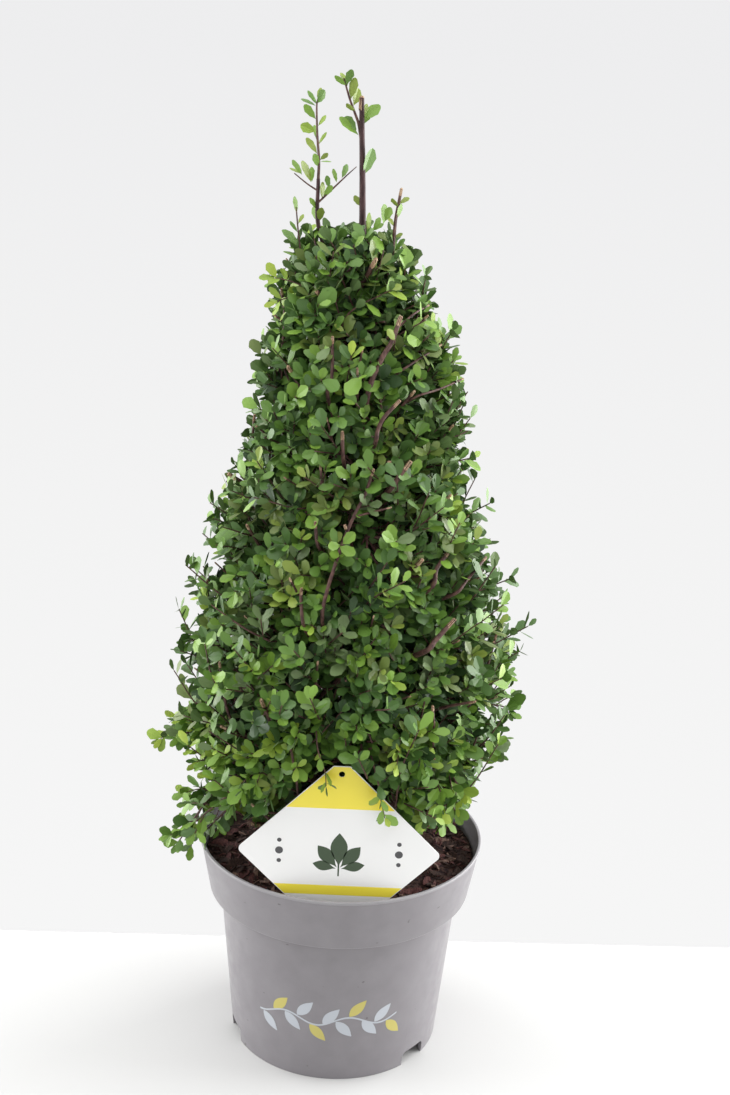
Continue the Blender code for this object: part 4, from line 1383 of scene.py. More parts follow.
@dataclass
class Crown:
    """The clipped cone: its outline, its masses, and the rule by which twigs branch and leaves are set."""

    limbs: Limbs
    pot: Pot
    label: PlantLabel
    rng: random.Random = field(default_factory=lambda: random.Random(SEED))
    outline: tuple = ((0.192, 0.080), (0.212, 0.102), (0.245, 0.116), (0.335, 0.127), (0.380, 0.121),
                      (0.420, 0.111), (0.460, 0.099), (0.510, 0.086), (0.560, 0.078), (0.600, 0.066),
                      (0.640, 0.050), (0.665, 0.035), (0.676, 0.014))
    lean: tuple = ((0.192, 0.000), (0.560, -0.001), (0.620, -0.009), (0.676, -0.014))
    tiers: tuple = (("skirt", 0.180, 0.00, 0.00, (20.0, 110.0, 200.0, 290.0)),
                    ("lower", 0.322, 0.14, -0.12, (40.0, 160.0, 280.0)),
                    ("middle", 0.448, -0.16, 0.12, (0.0, 120.0, 240.0)),
                    ("upper", 0.566, 0.14, 0.14, (60.0, 180.0, 300.0)))
    ceiling: float = 0.6915
    seam: float = 0.0008
    core_top: float = 0.6560
    main_shoots: int = 94
    fine_shoots: int = 1520
    inner_shoots: int = 560
    loose_sprays: int = 26
    risers: int = 46
    stubs: int = 90
    crowding: float = 0.75
    shoot_drop: float = 0.40
    main_inset: float = 0.0185
    leaf_lengths: tuple[float, float] = (0.0108, 0.0158)
    large_leaves: float = 0.10
    leaves_a_shoot: int = 12
    box_margin: float = 0.0012
    hollow_scale: float = 24.0
    hollow_depth: float = 0.022
    view_slope: float = 0.50
    long_inset: float = 0.013
    top_drop: float = 0.020
    whorl: float = 0.0013
    swell: float = 0.013
    bough_inset: float = 0.009
    gaps: tuple = ((0.033, -0.088, 0.479, 0.018), (-0.008, -0.111, 0.416, 0.014),
                   (0.054, -0.106, 0.387, 0.012), (0.016, -0.077, 0.549, 0.011),
                   (-0.014, -0.077, 0.558, 0.012), (-0.011, -0.084, 0.517, 0.014),
                   (-0.036, -0.100, 0.437, 0.012))
    long_shoots: tuple = ((-0.144, -0.030, 0.264), (-0.141, -0.046, 0.180), (0.137, -0.012, 0.324),
                          (0.132, -0.030, 0.264), (0.083, -0.012, 0.556), (-0.132, 0.012, 0.325),
                          (-0.118, -0.056, 0.196), (-0.128, -0.020, 0.206), (0.030, 0.161, 0.268),
                          (-0.052, 0.150, 0.318), (0.100, 0.118, 0.300), (-0.098, 0.112, 0.250),
                          (-0.160, 0.055, 0.232), (0.149, 0.062, 0.266), (0.006, 0.158, 0.240),
                          (-0.066, -0.022, 0.600), (0.060, -0.112, 0.296), (-0.055, -0.116, 0.300),
                          (-0.126, -0.060, 0.205), (-0.122, -0.020, 0.232), (-0.075, -0.105, 0.262),
                          (-0.036, -0.124, 0.312), (0.045, -0.121, 0.302), (0.082, -0.100, 0.258),
                          (0.014, -0.127, 0.322), (-0.095, -0.085, 0.238), (0.104, -0.072, 0.244))
    loose_heights: tuple[float, float] = (0.215, 0.118)
    compost_clear: float = 0.1675
    pot_clear: float = 0.003
    card_clear: float = 0.0035
    lip_clear: float = 0.0015
    foot_margin: float = 0.002
    low_zone: float = 0.43
    bold_share: float = 0.13
    open_share: float = 0.35
    gap_share: float = 0.75
    bulge_scale: float = 29.0
    upper_zone: float = 0.56
    upper_swell: float = 1.05
    large_swell: float = 1.32
    butt_swell: float = 0.35
    foot_inset: float = 0.026
    foot_drops: tuple[float, float] = (0.015, 0.036)
    surfacing: float = 0.62
    stub_length: float = 0.042
    stub_radii: tuple[float, ...] = (0.0006, 0.0008, 0.0011, 0.0016)
    stub_taper: tuple[float, ...] = (1.3, 1.2, 1.1, 1.05, 1.0)
    leader_radius: float = 0.0019
    head_shapes: tuple[int, ...] = (1, 3, 4, 4)
    rises: tuple = ((0.25, (-20, 42)), (0.61, (10, 68)), (1.0, (35, 85)))
    low_depths: tuple[float, float] = (0.009, 0.021)
    high_depths: tuple[float, float] = (0.004, 0.016)
    low_bold: tuple[float, float] = (-0.014, 0.002)
    high_bold: tuple[float, float] = (-0.005, 0.002)
    inner_depths: tuple[float, float] = (0.026, 0.072)
    inner_leaves: int = 8
    main_radii: tuple[float, ...] = (0.0016, 0.0011, 0.0007)
    fine_radii: tuple[float, ...] = (0.00085, 0.0007, 0.00045)
    long_radii: tuple[float, ...] = (0.0015, 0.0011, 0.0005)
    side_radii: tuple[float, ...] = (0.0006, 0.0005, 0.0004)
    long_spacing: float = 0.0052
    side_twigs: int = 3
    tufts: tuple = ("left_leader_foliage", "top_shoot_foliage")

    def radius(self, height: float) -> float:
        """Returns the radius to the leaf tips at a height."""
        return between(self.outline, height)

    def deepest(self, height: float) -> float:
        """Returns how far in from the outline a tip may be set at a height."""
        return max(0.002, self.radius(height) - 0.006)

    def polar(self, radius: float, angle: float, height: float) -> Vector:
        """Returns a point at this radius and angle round the crown's leaning middle."""
        middle = between(self.lean, height)
        return Vector((middle + radius * math.cos(angle), radius * math.sin(angle), height))

    def outward(self, place: Vector) -> Vector:
        """Returns the level direction from the crown's middle to a place."""
        level = Vector((place.x - between(self.lean, place.z), place.y, 0.0))
        return level.normalized() if level.length > 1e-4 else Vector((1.0, 0.0, 0.0))

    def tier_planes(self, tier: int) -> list[tuple[Vector, Vector]]:
        """Returns the planes that bound a tier from below and above."""
        bounds = []
        for index, side in ((tier, 1), (tier + 1, -1)):
            top = ("", self.ceiling, 0, 0, ())
            _, height, tilt_x, tilt_y, _ = self.tiers[index] if index < len(self.tiers) else top
            normal = Vector((-tilt_x, -tilt_y, 1.0)).normalized() * side
            bounds.append((Vector((0, 0, height)) + normal * self.seam / 2, normal))
        return bounds

    def sector_planes(self, start: float, end: float) -> list[tuple[Vector, Vector]]:
        """Returns the upright planes that bound a sector."""
        planes = []
        for angle, side in ((start, 1), (end, -1)):
            normal = Vector((-math.sin(angle), math.cos(angle), 0.0)) * side
            planes.append((normal * self.seam / 2, normal))
        return planes

    def masses(self) -> list[Mass]:
        """Returns the masses of the crown with their spaces and stems, in the source's order."""
        boughs, made = self.limbs.bough_lines(), []
        for tier, (title, low, _, _, seams) in enumerate(self.tiers):
            high = self.tiers[tier + 1][1] if tier + 1 < len(self.tiers) else self.core_top
            for index, seam in enumerate(seams):
                start, end = math.radians(seam), math.radians(seams[(index + 1) % len(seams)])
                end += 2 * math.pi if end < start else 0.0
                middle = (start + end) / 2
                heart = self.polar(0.50 * self.radius((low + high) / 2), middle, low + 0.62 * (high - low))
                if tier == 0:
                    root = boughs[index][-1]
                else:
                    root = self.limbs.trunk_point(low + 0.30 * (high - low))
                ahead = Vector((math.cos(middle), math.sin(middle), 0.0))
                stem = Limb([root, root + ahead * 0.008, root.lerp(heart, 0.6) + UP * 0.004, heart],
                            [0.0024, 0.0023, 0.0019, 0.0015])
                space = Space(self.tier_planes(tier) + self.sector_planes(start, end))
                made.append(Mass(f"{title}_foliage_{index + 1}", space, stem))
        return made

    def tips(self, count: int, inset: float, offset: float = 0.0) -> list[Vector]:
        """Spreads shoot tips evenly over the cone by area, turning by the golden angle.

        Args:
            count: how many there are.
            inset: how far inside the leaf tips they lie.
            offset: an angle added to every turn.

        Returns:
            Their places, from the foot of the cone up.
        """
        low, high = self.outline[0][0], self.outline[-1][0] - self.top_drop
        heights = [low + (high - low) * step / 200 for step in range(201)]
        areas = [0.0]
        for height in heights[1:]:
            areas.append(areas[-1] + self.radius(height) ** self.crowding)
        pairs = list(zip(areas, heights))
        places = []
        for index in range(count):
            height = between(pairs, areas[-1] * (index + 0.5) / count)
            radius = max(0.003, self.radius(height) - inset)
            places.append(self.polar(radius, index * GOLDEN_ANGLE + offset, height))
        return places

    def owner(self, masses: Sequence[Mass], tip: Vector) -> Mass:
        """Returns the mass whose space the tip is deepest in."""
        return max(masses, key=lambda each: each.space.depth(tip))

    def hollow(self, place: Vector) -> float:
        """Returns how far the crown dips at a place: 0 on its swells, 1 in a hollow, more in a set gap."""
        drawn = max(1.0 - (place - Vector(gap)).length / reach for *gap, reach in self.gaps)
        chance = 2.2 * noise.noise(place * self.hollow_scale) - 0.05
        return max(0.0, min(1.0, chance), min(1.3, 2.6 * drawn))

    def off_card(self, point: Vector, margin: float) -> bool:
        """Says whether a point keeps clear of the card, seen from the front, by a margin."""
        ahead = self.label.y - point.y
        if ahead < -0.008:
            return True
        height = point.z - max(0.0, ahead) * self.view_slope
        return abs(point.x) + abs(height - self.label.centre_z) > self.label.half_diagonal + margin

    def off_pot(self, point: Vector) -> bool:
        """Says whether a point keeps clear of the pot's wall and of the compost."""
        from_axis = math.hypot(point.x, point.y)
        if point.z > self.pot.height + self.lip_clear or from_axis > self.pot.rim_radius + self.pot_clear:
            return True
        inside = from_axis < self.pot.collar_inside(point.z) - self.pot_clear
        return inside and point.z > self.compost_clear

    def clear(self, root: Vector, tip: Vector, spray: Spray) -> bool:
        """Says whether a leaf may stand: inside the outline and the box, and off the pot and the card.

        Args:
            root: where it starts.
            tip: where it ends.
            spray: the spray that it belongs to.

        Returns:
            True if it may.
        """
        margin, (least, most) = self.box_margin, CAD_BOX
        if any(not low + margin < place < high - margin for low, place, high in zip(least, tip, most)):
            return False
        reach = math.hypot(tip.x - between(self.lean, tip.z), tip.y)
        below = tip.z < self.outline[0][0] + self.foot_margin
        if not spray.free and (below or reach > self.radius(tip.z) + spray.slack):
            return False
        points = (root, root.lerp(tip, 0.55), tip)
        if not spray.over_card and not all(self.off_card(point, self.card_clear) for point in points):
            return False
        return all(self.off_pot(point) for point in points)

    def tone_of(self, depth: float, height: float, fresh: bool) -> int:
        """Deals a spray its green: darker inside, partly for the older leaves there and partly as painted
        shade, brighter where it stands out and low down.

        Args:
            depth: how far inside the outline the spray lies, in metres.
            height: its height.
            fresh: whether it stands out of the cone.

        Returns:
            The index of its tone.
        """
        cases = ((depth > 0.024, "deep inside"), (depth > 0.012, "inside"), (fresh, "standing out"),
                 (height < 0.36, "low"), (height < self.upper_zone, "middle"), (True, "high"))
        place = next(title for holds, title in cases if holds)
        return self.rng.choices(range(len(LeafTone)), TONE_SHARES[place])[0]

    def shade_of(self, tone: int, number: int) -> int:
        """Returns the tone of one leaf of a spray, counted from its tip: the youngest are often brighter."""
        rng = self.rng
        if tone in RARE_TONES and number > 1:
            tone = rng.choice(PLAIN_TONES)
        if number < 3 and rng.random() < 0.30:
            return BRIGHTER.get(tone, tone)
        if number > 2 and rng.random() < 0.08 * min(number, 5):
            return DARKER.get(tone, tone)
        return rng.choice(STREWN_TONES) if rng.random() < 0.14 else tone

    def set_leaves(self, mass: Mass, line: Sequence[Vector], spray: Spray) -> None:
        """Sets leaves in turn round the end of a twig.

        Args:
            mass: the mass that gains the leaves.
            line: the twig's points, root first.
            spray: how it is leafed.
        """
        rng = self.rng
        turn = rng.uniform(0, 2 * math.pi)
        for number in range(spray.count):
            turn += GOLDEN_ANGLE + rng.uniform(-0.25, 0.25)
            back = self.whorl * min(number, 3) + spray.spacing * 1.2 * max(0, number - 3)
            root, ahead = along(line, back)
            across = ahead.orthogonal().normalized()
            side = math.cos(turn) * across + math.sin(turn) * ahead.cross(across)
            spread = rng.uniform(6, 26) if number == 0 else spray.spread * rng.uniform(0.65, 1.25)
            spread = math.radians(spread)
            heading = math.cos(spread) * ahead + math.sin(spread) * side
            jitter = Vector([rng.gauss(0, 0.20) for _ in range(3)])
            if spray.free:
                level = ahead.cross(UP)
                level = -level if (level.y > 0) == (root.y < 0.06) else level
                facing = 0.20 * ahead + 0.50 * UP + 0.65 * level + 2.2 * jitter
            else:
                facing = 0.75 * ahead + 0.30 * self.outward(root) + 0.40 * UP + jitter - 0.20 * side
            young = 0.70 + 0.30 * min(1.0, (number + 0.5) / 3.0)
            length = spray.scale * young * rng.uniform(*self.leaf_lengths)
            length *= self.upper_swell if root.z > self.upper_zone else 1.0
            length *= self.large_swell if rng.random() < self.large_leaves else 1.0
            if self.clear(root, root + heading * length, spray):
                mass.leaves.append({"place": root, "ahead": heading, "facing": facing, "size": length,
                                    "shape": rng.randrange(len(LeafShapes.widths)),
                                    "tone": self.shade_of(spray.tone, number)})

    def nearest(self, mass: Mass, place: Vector) -> Vector:
        """Returns the point of the mass's main twigs, or of its stem, that is nearest to a place."""
        points = [point for twig in mass.mains for point in twig.line[1:]] + mass.stem.line[2:]
        return min(points, key=lambda point: (point - place).length)

    def main_twigs(self, masses: Sequence[Mass]) -> None:
        """Grows the source's own twigs, one to each of its shoot tips, on every mass."""
        for tip in self.tips(self.main_shoots, self.main_inset):
            mass = self.owner(masses, tip)
            for place, normal in mass.space.planes:
                short = 0.006 - (tip - place).dot(normal)
                tip = tip + normal * short if short > 0 else tip
            low, high = mass.stem.line[1].z, mass.stem.line[-1].z
            share = min(1.0, max(0.15, (tip.z - low) / max(high - low, 0.02) - self.shoot_drop))
            start = mass.stem.at(0.33 + 0.67 * share)
            bend = start.lerp(tip, 0.5) - UP * 0.10 * (tip - start).length
            twig = Limb(curved([start, bend, tip], 5), spread_radii(self.main_radii, 5))
            mass.mains.append(twig)
            if all(self.off_card(point, 0.002) for point in twig.line):
                mass.boughs.append(twig)

    def fine_shoot(self, mass: Mass, tip: Vector, depth: float, count: int, room: float = 0.0) -> None:
        """Grows one fine twig from the nearest main twig of its mass to a tip, with its leaves.

        Args:
            mass: the mass that it belongs to.
            tip: where it ends.
            depth: how far inside the outline that is, negative where it stands out.
            count: how many leaves it bears at the most.
            room: how far past the outline its leaves may stand.
        """
        rng, outward = self.rng, self.outward(tip)
        low, high = next(angles for ceiling, angles in self.rises if tip.z < ceiling)
        rise = math.radians(rng.uniform(low, high))
        twist = Vector((-outward.y, outward.x, 0.0)) * rng.gauss(0, 0.40)
        ahead = (outward * math.cos(rise) + UP * math.sin(rise) + twist).normalized()
        back = tip - ahead * rng.uniform(0.030, 0.042) - UP * rng.uniform(0.0, 0.004)
        start = self.nearest(mass, back - ahead * 0.012)
        line = curved([start, back.lerp(start, 0.12), tip], 4)
        if not all(self.off_card(point, 0.002) for point in line):
            return
        mass.twigs.append(Limb(line, spread_radii(self.fine_radii, 4)))
        slack = rng.uniform(-0.002, 0.003) + room
        count += rng.randrange(-2, 3)
        self.set_leaves(mass, line, Spray(count, self.tone_of(depth, tip.z, False), slack=slack))

    def fill(self, masses: Sequence[Mass]) -> None:
        """Grows the fine shoots that make the cone's surface, and the darker ones behind them, whose darker
        greens are partly painted shade.
        """
        rng = self.rng
        for tip in self.tips(self.fine_shoots, 0.0):
            outward, dip = self.outward(tip), self.hollow(tip)
            if dip > 0.75 and rng.random() < (self.open_share if dip <= 1.0 else self.gap_share):
                continue
            low_down = tip.z < self.low_zone
            depth = rng.uniform(*(self.low_depths if low_down else self.high_depths))
            depth += self.hollow_depth * dip
            if rng.random() < self.bold_share:
                depth = rng.uniform(*(self.low_bold if low_down else self.high_bold))
            depth = min(depth, self.deepest(tip.z))
            bulge = self.swell * noise.noise(tip * self.bulge_scale) * min(1.0, self.radius(tip.z) / 0.08)
            place = tip + outward * (bulge - depth)
            room = max(0.0, bulge, bulge - depth) + (0.006 if depth < 0 else 0.0)
            self.fine_shoot(self.owner(masses, place), place, depth, self.leaves_a_shoot, room)
        for tip in self.tips(self.inner_shoots, 0.0, 2.0):
            depth = min(rng.uniform(*self.inner_depths), self.deepest(tip.z))
            place = tip - self.outward(tip) * depth
            self.fine_shoot(self.owner(masses, place), place, depth, self.inner_leaves)

    def long_shoot(self, mass: Mass, tip: Vector) -> None:
        """Grows one shoot that stands out of the cone, with a few side twigs and leaves along its end.

        Args:
            mass: the mass that it belongs to.
            tip: where it ends.
        """
        rng = self.rng
        tip = tip - self.outward(tip) * self.long_inset
        start = mass.stem.at(0.75)
        middle = start.lerp(tip, 0.62) + UP * 0.012
        line = curved([start, middle, tip], 8)
        if not all(self.off_card(point, 0.002) for point in line):
            return
        mass.boughs.append(Limb(line, spread_radii(self.long_radii, 8)))
        count = int((tip - middle).length / self.long_spacing) + 2
        tone = self.tone_of(0.0, tip.z, True)
        self.set_leaves(mass, line, Spray(count, tone, self.long_spacing, 1.05, free=True))
        for number in range(self.side_twigs):
            root, ahead = along(line, 0.012 + number * 0.010)
            turn = number * GOLDEN_ANGLE + rng.uniform(0, 1)
            across = ahead.orthogonal().normalized()
            side = math.cos(turn) * across + math.sin(turn) * ahead.cross(across) + 0.35 * UP
            end = root + (0.80 * ahead + 0.55 * side).normalized() * rng.uniform(0.014, 0.024)
            branch = curved([root, root.lerp(end, 0.5) + UP * 0.001, end], 2)
            mass.twigs.append(Limb(branch, spread_radii(self.side_radii, 2)))
            self.set_leaves(mass, branch, Spray(5, tone, 0.0040, 0.95, 48.0, free=True))

    def loosen(self, masses: Sequence[Mass]) -> None:
        """Grows the long shoots, the skirt's loose sprays and the sprigs that hang before the card."""
        rng = self.rng
        for tip in (Vector(point) for point in self.long_shoots):
            self.long_shoot(self.owner(masses, tip), tip)
        lowest, run = self.loose_heights
        for number in range(self.loose_sprays):
            height = lowest + run * ((number * 0.618) % 1.0)
            tip = self.polar(self.radius(height) + rng.uniform(0.004, 0.018), number * GOLDEN_ANGLE, height)
            self.long_shoot(self.owner(masses, tip), tip)
        for points in metres(CARD_SPRIGS):
            line = curved([Vector(point) for point in points], 4)
            mass = self.owner(masses, line[0])
            start = self.nearest(mass, line[0])
            hidden = line[0] - self.outward(line[0]) * 0.022 + UP * 0.004
            whole = curved([start, hidden, line[0]], 4)[:-1] + line
            mass.twigs.append(Limb(whole, tapered(0.0008, 0.0004, len(whole))))
            self.set_leaves(mass, line, Spray(10, 5, 0.0034, 0.84, 48.0, free=True, over_card=True))

    def stout_twigs(self, masses: Sequence[Mass]) -> None:
        """Adds the stouter twigs that climb just under the surface and the stubs that the shears left."""
        rng = self.rng
        lines = [(thick, self.bough_inset, [Vector(point) for point in line])
                 for thick, line in metres(FRONT_BOUGHS)]
        for tip in self.tips(self.risers, 0.003, 0.7):
            if tip.y < -0.02 and tip.z > 0.36:
                continue
            angle = math.atan2(tip.y, tip.x - between(self.lean, tip.z))
            run = [tip]
            for share in (0.5, 1.0):
                height = max(0.20, tip.z - share * rng.uniform(0.05, 0.10))
                turn = angle + rng.gauss(0, 0.10)
                run.insert(0, self.polar(self.radius(height) - 0.004 - 0.008 * share, turn, height))
            lines.append((rng.uniform(0.0007, 0.0011), rng.uniform(0.009, 0.015), run))
        for thick, deep, line in lines:
            mass, last = self.owner(masses, line[0]), len(line) - 1
            line = [point - self.outward(point) * (deep - self.surfacing * deep * step / last)
                    for step, point in enumerate(line)]
            least, most = self.foot_drops
            rise = min(most, max(least, 0.8 * (line[-1] - line[0]).z))
            start = line[0] - self.outward(line[0]) * self.foot_inset - UP * rise
            if not all(self.off_card(point, 0.004) for point in line):
                continue
            whole = curved([start, *line], 4)
            swells = tapered(1.0 + self.butt_swell, 1.0, len(whole))
            mass.boughs.append(Limb(whole, [thick * swell for swell in swells]))
            mass.cut(whole[-1], (whole[-1] - whole[-2]).normalized(), thick)
        for tip in self.tips(self.stubs, 0.004, 1.3):
            mass, outward = self.owner(masses, tip), self.outward(tip)
            ahead = outward + UP * rng.uniform(0.3, 1.6)
            ahead = (ahead + Vector([rng.gauss(0, 0.2) for _ in range(3)])).normalized()
            tip = tip - outward * rng.uniform(-0.004, 0.008)
            line = [tip - ahead * self.stub_length, tip - ahead * 0.02 + UP * 0.001, tip]
            if all(self.off_card(point, 0.012) and self.off_pot(point) for point in line):
                thick = rng.choice(self.stub_radii)
                mass.twigs.append(Limb(curved(line, 2), [thick * share for share in self.stub_taper]))
                mass.cut(tip, ahead, thick)

    def head(self) -> Mass:
        """Returns the leafy ends of the two leaders and the shoots about them, which stand above the cone."""
        rng = self.rng
        mass = Mass("head", Space([]), Limb([], []))
        box_top = CAD_BOX[1][2] - self.box_margin
        for shoot in HEAD:
            y, (first, last) = metres(shoot.y), metres(shoot.thick)
            line = curved([Vector((x, y, z)) for x, z in metres(shoot.stem)], 5)
            mass.twigs.append(Limb(line, tapered(first, last, len(line))))
            if shoot.cut:
                mass.cut(line[-1], (line[-1] - line[-2]).normalized(), last)
            for number, (foot, tip) in enumerate(metres(shoot.leaves)):
                flat = Vector((tip[0] - foot[0], 0.0, min(tip[1], box_top) - foot[1]))
                away = math.sin(number * GOLDEN_ANGLE)
                heading = flat + Vector((0.0, 0.55 * away * flat.length, 0.0))
                facing = Vector((0.9 * math.cos(number * 2.0), -0.65, 0.30)) + 0.4 * away * UP
                mass.leaves.append({"place": Vector((foot[0], y, foot[1])), "ahead": heading.normalized(),
                                    "facing": facing, "size": flat.length * 1.06,
                                    "shape": rng.choice(self.head_shapes),
                                    "tone": rng.choices(HEAD_TONES, HEAD_SHARES)[0]})
        mass.cut(Vector(self.limbs.trunk_line[-1]), UP, self.leader_radius)
        return mass

    def build(self) -> None:
        """Grows the crown and makes its pieces, mass by mass: leaves, twigs and cut ends."""
        masses = self.masses()
        self.main_twigs(masses)
        for mass in masses:
            mass.boughs.append(Limb(curved(mass.stem.line, 4), spread_radii(mass.stem.radii, 4)))
        self.fill(masses)
        self.loosen(masses)
        self.stout_twigs(masses)
        dresser = Dresser()
        for mass in masses:
            dresser.dress(mass, [mass.name])
        dresser.dress(self.head(), list(self.tufts))
        LOG.info("crown: %d leaves, %d triangles", dresser.leaves, dresser.triangles)


@dataclass
class Dresser:
    """Turns what a mass has grown into pieces, with the shared shapes and node trees."""

    leaves: int = 0
    triangles: int = 0

    def __post_init__(self) -> None:
        """Makes the shapes and the trees once."""
        self.leaf_shapes, self.end_shapes = LeafShapes().collection(), cut_end_shapes()
        greens = [tone.value.material() for tone in LeafTone]
        self.leaves_tree = scatter_tree("Leaves on twigs", greens, UNDERSIDE.material())
        self.ends_tree = scatter_tree("Cut ends", [CUT_WOOD.material()])
        self.wood_tree = twig_tree("Twigs")

    def scattered(self, name: str, rows: Sequence[dict[str, Any]], tree: Tree,
                  shapes: bpy.types.Collection) -> Piece:
        """Makes a piece from a shape set on every point.

        Args:
            name: its name.
            rows: the points, as points_mesh takes them.
            tree: the tree that sets them.
            shapes: the shapes that they choose from.

        Returns:
            The piece.
        """
        return put(grown(points_mesh("points", rows), tree, {"Shapes": shapes}, name))

    def wood(self, name: str, limbs: Sequence[Limb], sides: int) -> Mesh:
        """Returns limbs swept as closed round twigs with so many sides."""
        values = {"Sides": sides, "Finish": TWIG.material()}
        return grown(lines_mesh("lines", limbs), self.wood_tree, values, name)

    def dress(self, mass: Mass, nodes: Sequence[str]) -> None:
        """Makes a mass's pieces.

        Args:
            mass: the mass, fully grown.
            nodes: the solids that the pieces stand for.
        """
        stem = mass.name.replace("_foliage", "")
        leaves = self.scattered(f"{stem}_leaves", mass.leaves, self.leaves_tree, self.leaf_shapes)
        wood = [self.wood("fine", mass.twigs, 5)]
        if mass.boughs:
            wood.append(self.wood("stout", mass.boughs, 7))
        twigs = put(joined(f"{stem}_twigs", wood), TWIG.material())
        soften(twigs.data, 70.0)
        pieces = [(leaves, "leaf"), (twigs, "bark")]
        if mass.ends:
            ends = self.scattered(f"{stem}_cut_ends", mass.ends, self.ends_tree, self.end_shapes)
            pieces.append((ends, "bark"))
        for piece, slot in pieces:
            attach(piece, "root")
            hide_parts(*nodes)
            count = sum(len(face.vertices) - 2 for face in piece.data.polygons)
            self.triangles += count
            LOG.info("%s: %d triangles", piece.name, count)
        self.leaves += len(mass.leaves)


def spread_radii(radii: Sequence[float], steps: int) -> list[float]:
    """Returns radii read at every step between the given ones."""
    pairs = list(enumerate(radii))
    return [between(pairs, index / steps) for index in range((len(radii) - 1) * steps + 1)]


def along(line: Sequence[Vector], back: float) -> tuple[Vector, Vector]:
    """Finds a place on a line, counted back from its end.

    Args:
        line: its points.
        back: how far back the place is.

    Returns:
        The place and the line's direction there.
    """
    for end, start in zip(reversed(line), reversed(line[:-1])):
        run = (end - start).length
        if back <= run:
            return end.lerp(start, back / run), (end - start).normalized()
        back -= run
    return line[0].copy(), (line[1] - line[0]).normalized()


@dataclass
class LeafShapes:
    """The leaf's own outline: a wedge-shaped foot, a blade widest past its middle and a scalloped margin."""

    half_width: float = 0.275
    thickness: float = 0.022
    ribs: tuple[float, ...] = (0.0, 0.38, 0.72, 1.0)
    margin: tuple = ((0.14, 0.28), (0.33, 0.72), (0.52, 0.95), (0.69, 1.0), (0.84, 0.80), (0.95, 0.44))
    widths: tuple[float, ...] = (1.00, 0.87, 1.12, 1.04, 0.78)
    folds: tuple[float, ...] = (0.16, 0.06, -0.12, 0.24, -0.05)
    droops: tuple[float, ...] = (-0.10, -0.02, -0.18, 0.04, -0.08)
    scallops: tuple[float, float] = (0.93, 1.07)
    rows: tuple = ((0, 0, None), (1, 0, 1), (1, 1, 2), (1, 2, None),
                   (2, 2, 3), (2, 3, 4), (2, 4, 5), (2, 5, None))
    crispness: float = 9.0

    def shape(self, number: int) -> Mesh:
        """Returns one leaf of unit length along Y, facing Z, as a closed lens with a creased midrib."""
        wide, fold, droop = self.widths[number], self.folds[number], self.droops[number]
        points: list[tuple[float, float, float]] = [(0.0, y, droop * y * y) for y in self.ribs]
        for side in (-1, 1):
            for index, (y, share) in enumerate(self.margin):
                width = self.half_width * wide * share * self.scallops[index % 2]
                points.append((side * width, y, droop * y * y + fold * width))
        points += [(0.0, y, droop * y * y - self.thickness) for y in self.ribs[1:3]]
        top = []
        for first in (len(self.ribs), len(self.ribs) + len(self.margin)):
            for rib, a, b in self.rows:
                last = rib + 1 if b is None else first + b
                top.append((rib, first + a, last))
        under = [tuple({1: 16, 2: 17}.get(corner, corner) for corner in face) for face in top]
        mesh = mesh_from(f"leaf_{number}", points, top + under)
        shade = mesh.attributes.new("underside", "BOOLEAN", "FACE")
        shade.data.foreach_set("value", [False] * len(top) + [True] * len(under))
        point_outwards(mesh)
        soften(mesh, self.crispness)
        return mesh

    def collection(self) -> bpy.types.Collection:
        """Returns a collection of the leaf shapes that isn't in the scene."""
        shapes = bpy.data.collections.new("leaf_shapes")
        for number in range(len(self.widths)):
            shapes.objects.link(bpy.data.objects.new(f"leaf_{number}", self.shape(number)))
        return shapes


def cut_end_shapes() -> bpy.types.Collection:
    """Returns a collection with the pale torn end that caps a clipped twig."""
    points, sides = [], 8
    for height, radius in ((-4.2, 1.0), (-0.3, 0.94), (0.35, 0.55)):
        points += [(x, y, height + 0.5 * math.sin(step * 2.3))
                   for step, (x, y) in enumerate(ring(radius, sides))]
    faces = [tuple(reversed(range(sides))), tuple(range(2 * sides, 3 * sides))]
    faces += [(low + step, low + (step + 1) % sides, low + sides + (step + 1) % sides, low + sides + step)
              for low in (0, sides) for step in range(sides)]
    shapes = bpy.data.collections.new("cut_end_shapes")
    shapes.objects.link(bpy.data.objects.new("cut_end", mesh_from("cut_end", points, faces)))
    return shapes


# ---------------------------------------------------------------- studio


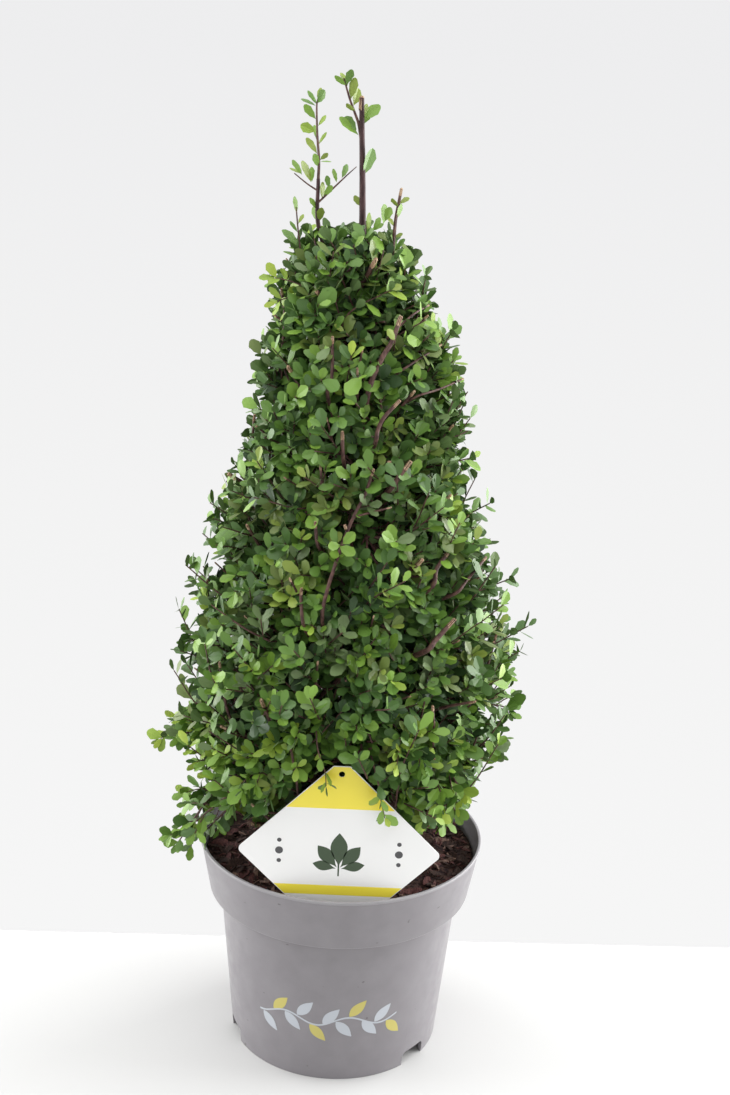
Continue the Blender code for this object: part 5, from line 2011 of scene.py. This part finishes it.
@dataclass
class Studio:
    """The plain pale table top, the soft lights and the camera."""

    half_width: float = 2.6
    near_edge: float = -2.4
    far_edge: float = 0.1207
    edge_slope: float = 0.0327
    camera_place: Colour = (0.0098, -1.0827, 0.7444)
    pitch: float = 73.233
    roll: float = 0.0425
    lens: float = 48.13
    table_drop: float = 0.0002
    lamps: tuple = (("side_left", (-1.5, 0.35, 0.62), 1.7, 40.0),
                    ("side_right", (1.5, 0.45, 0.62), 1.7, 63.0),
                    ("top", (0.0, -0.3, 2.1), 2.2, 24.0))
    lamp_aim: Colour = (0.0, 0.0, 0.30)

    def build(self) -> None:
        """Sets up the floor, the world, the lights and the camera."""
        self.floor()
        self.world()
        for name, place, size, watts in self.lamps:
            self.light(name, place, size, watts)
        self.camera()

    def floor(self) -> None:
        """Makes the pale table top, whose far edge lies just behind the pot."""
        half, near, rise = self.half_width, self.near_edge, self.half_width * self.edge_slope
        corners = ((-half, near), (half, near), (half, self.far_edge + rise), (-half, self.far_edge - rise))
        points = [(x, y, -self.table_drop) for x, y in corners]
        floor = put(mesh_from("studio_floor", points, [(0, 1, 2, 3)]), TABLE.material())

    def world(self) -> None:
        """Gives the world a plain pale light, a little dimmer higher up."""
        world = bpy.data.worlds.new("studio")
        world.use_nodes = True
        nodes = Nodes(world.node_tree)
        sky = world.node_tree.nodes.get("Background") or nodes.add("ShaderNodeBackground")
        way = nodes.add("ShaderNodeTexCoord").outputs["Generated"]
        rise = nodes.add("ShaderNodeSeparateXYZ", {0: way}).outputs["Z"]
        span = {"Value": rise, "From Min": -0.50, "From Max": 0.04}
        place = nodes.add("ShaderNodeMapRange", span).outputs[0]
        tone = ramp(nodes, place, ((0.0, 0.922), (0.45, 0.896), (1.0, (0.852, 0.852, 0.860))))
        nodes.link(tone, sky.inputs["Color"])
        sky.inputs["Strength"].default_value = 1.0
        bpy.context.scene.world = world

    def light(self, name: str, place: Colour, size: float, watts: float) -> None:
        """Adds a square soft light that looks at the middle of the plant."""
        lamp = bpy.data.lights.new(name, "AREA")
        lamp.size, lamp.energy, lamp.shape = size, watts, "SQUARE"
        holder = bpy.data.objects.new(name, lamp)
        holder.location = place
        holder.rotation_euler = (Vector(self.lamp_aim) - Vector(place)).to_track_quat("-Z", "Y").to_euler()
        bpy.context.scene.collection.objects.link(holder)

    def camera(self) -> None:
        """Adds the camera at the viewing angle."""
        lens = bpy.data.cameras.new("camera")
        lens.lens, lens.sensor_width = self.lens, 36.0
        holder = bpy.data.objects.new("camera", lens)
        turn = Matrix.Rotation(math.radians(self.pitch), 4, "X") @ Matrix.Rotation(self.roll, 4, "Z")
        holder.matrix_world = Matrix.Translation(Vector(self.camera_place)) @ turn
        bpy.context.scene.collection.objects.link(holder)
        bpy.context.scene.camera = holder


def main() -> None:
    """Builds every piece in order."""
    pot, label, limbs = Pot(), PlantLabel(), Limbs()
    for part in (Studio(), pot, PotGarland(pot), RootBall(pot), label, limbs, Crown(limbs, pot, label)):
        part.build()
    bpy.context.scene.view_settings.view_transform = "Standard"


if __name__ == "__main__":
    main()
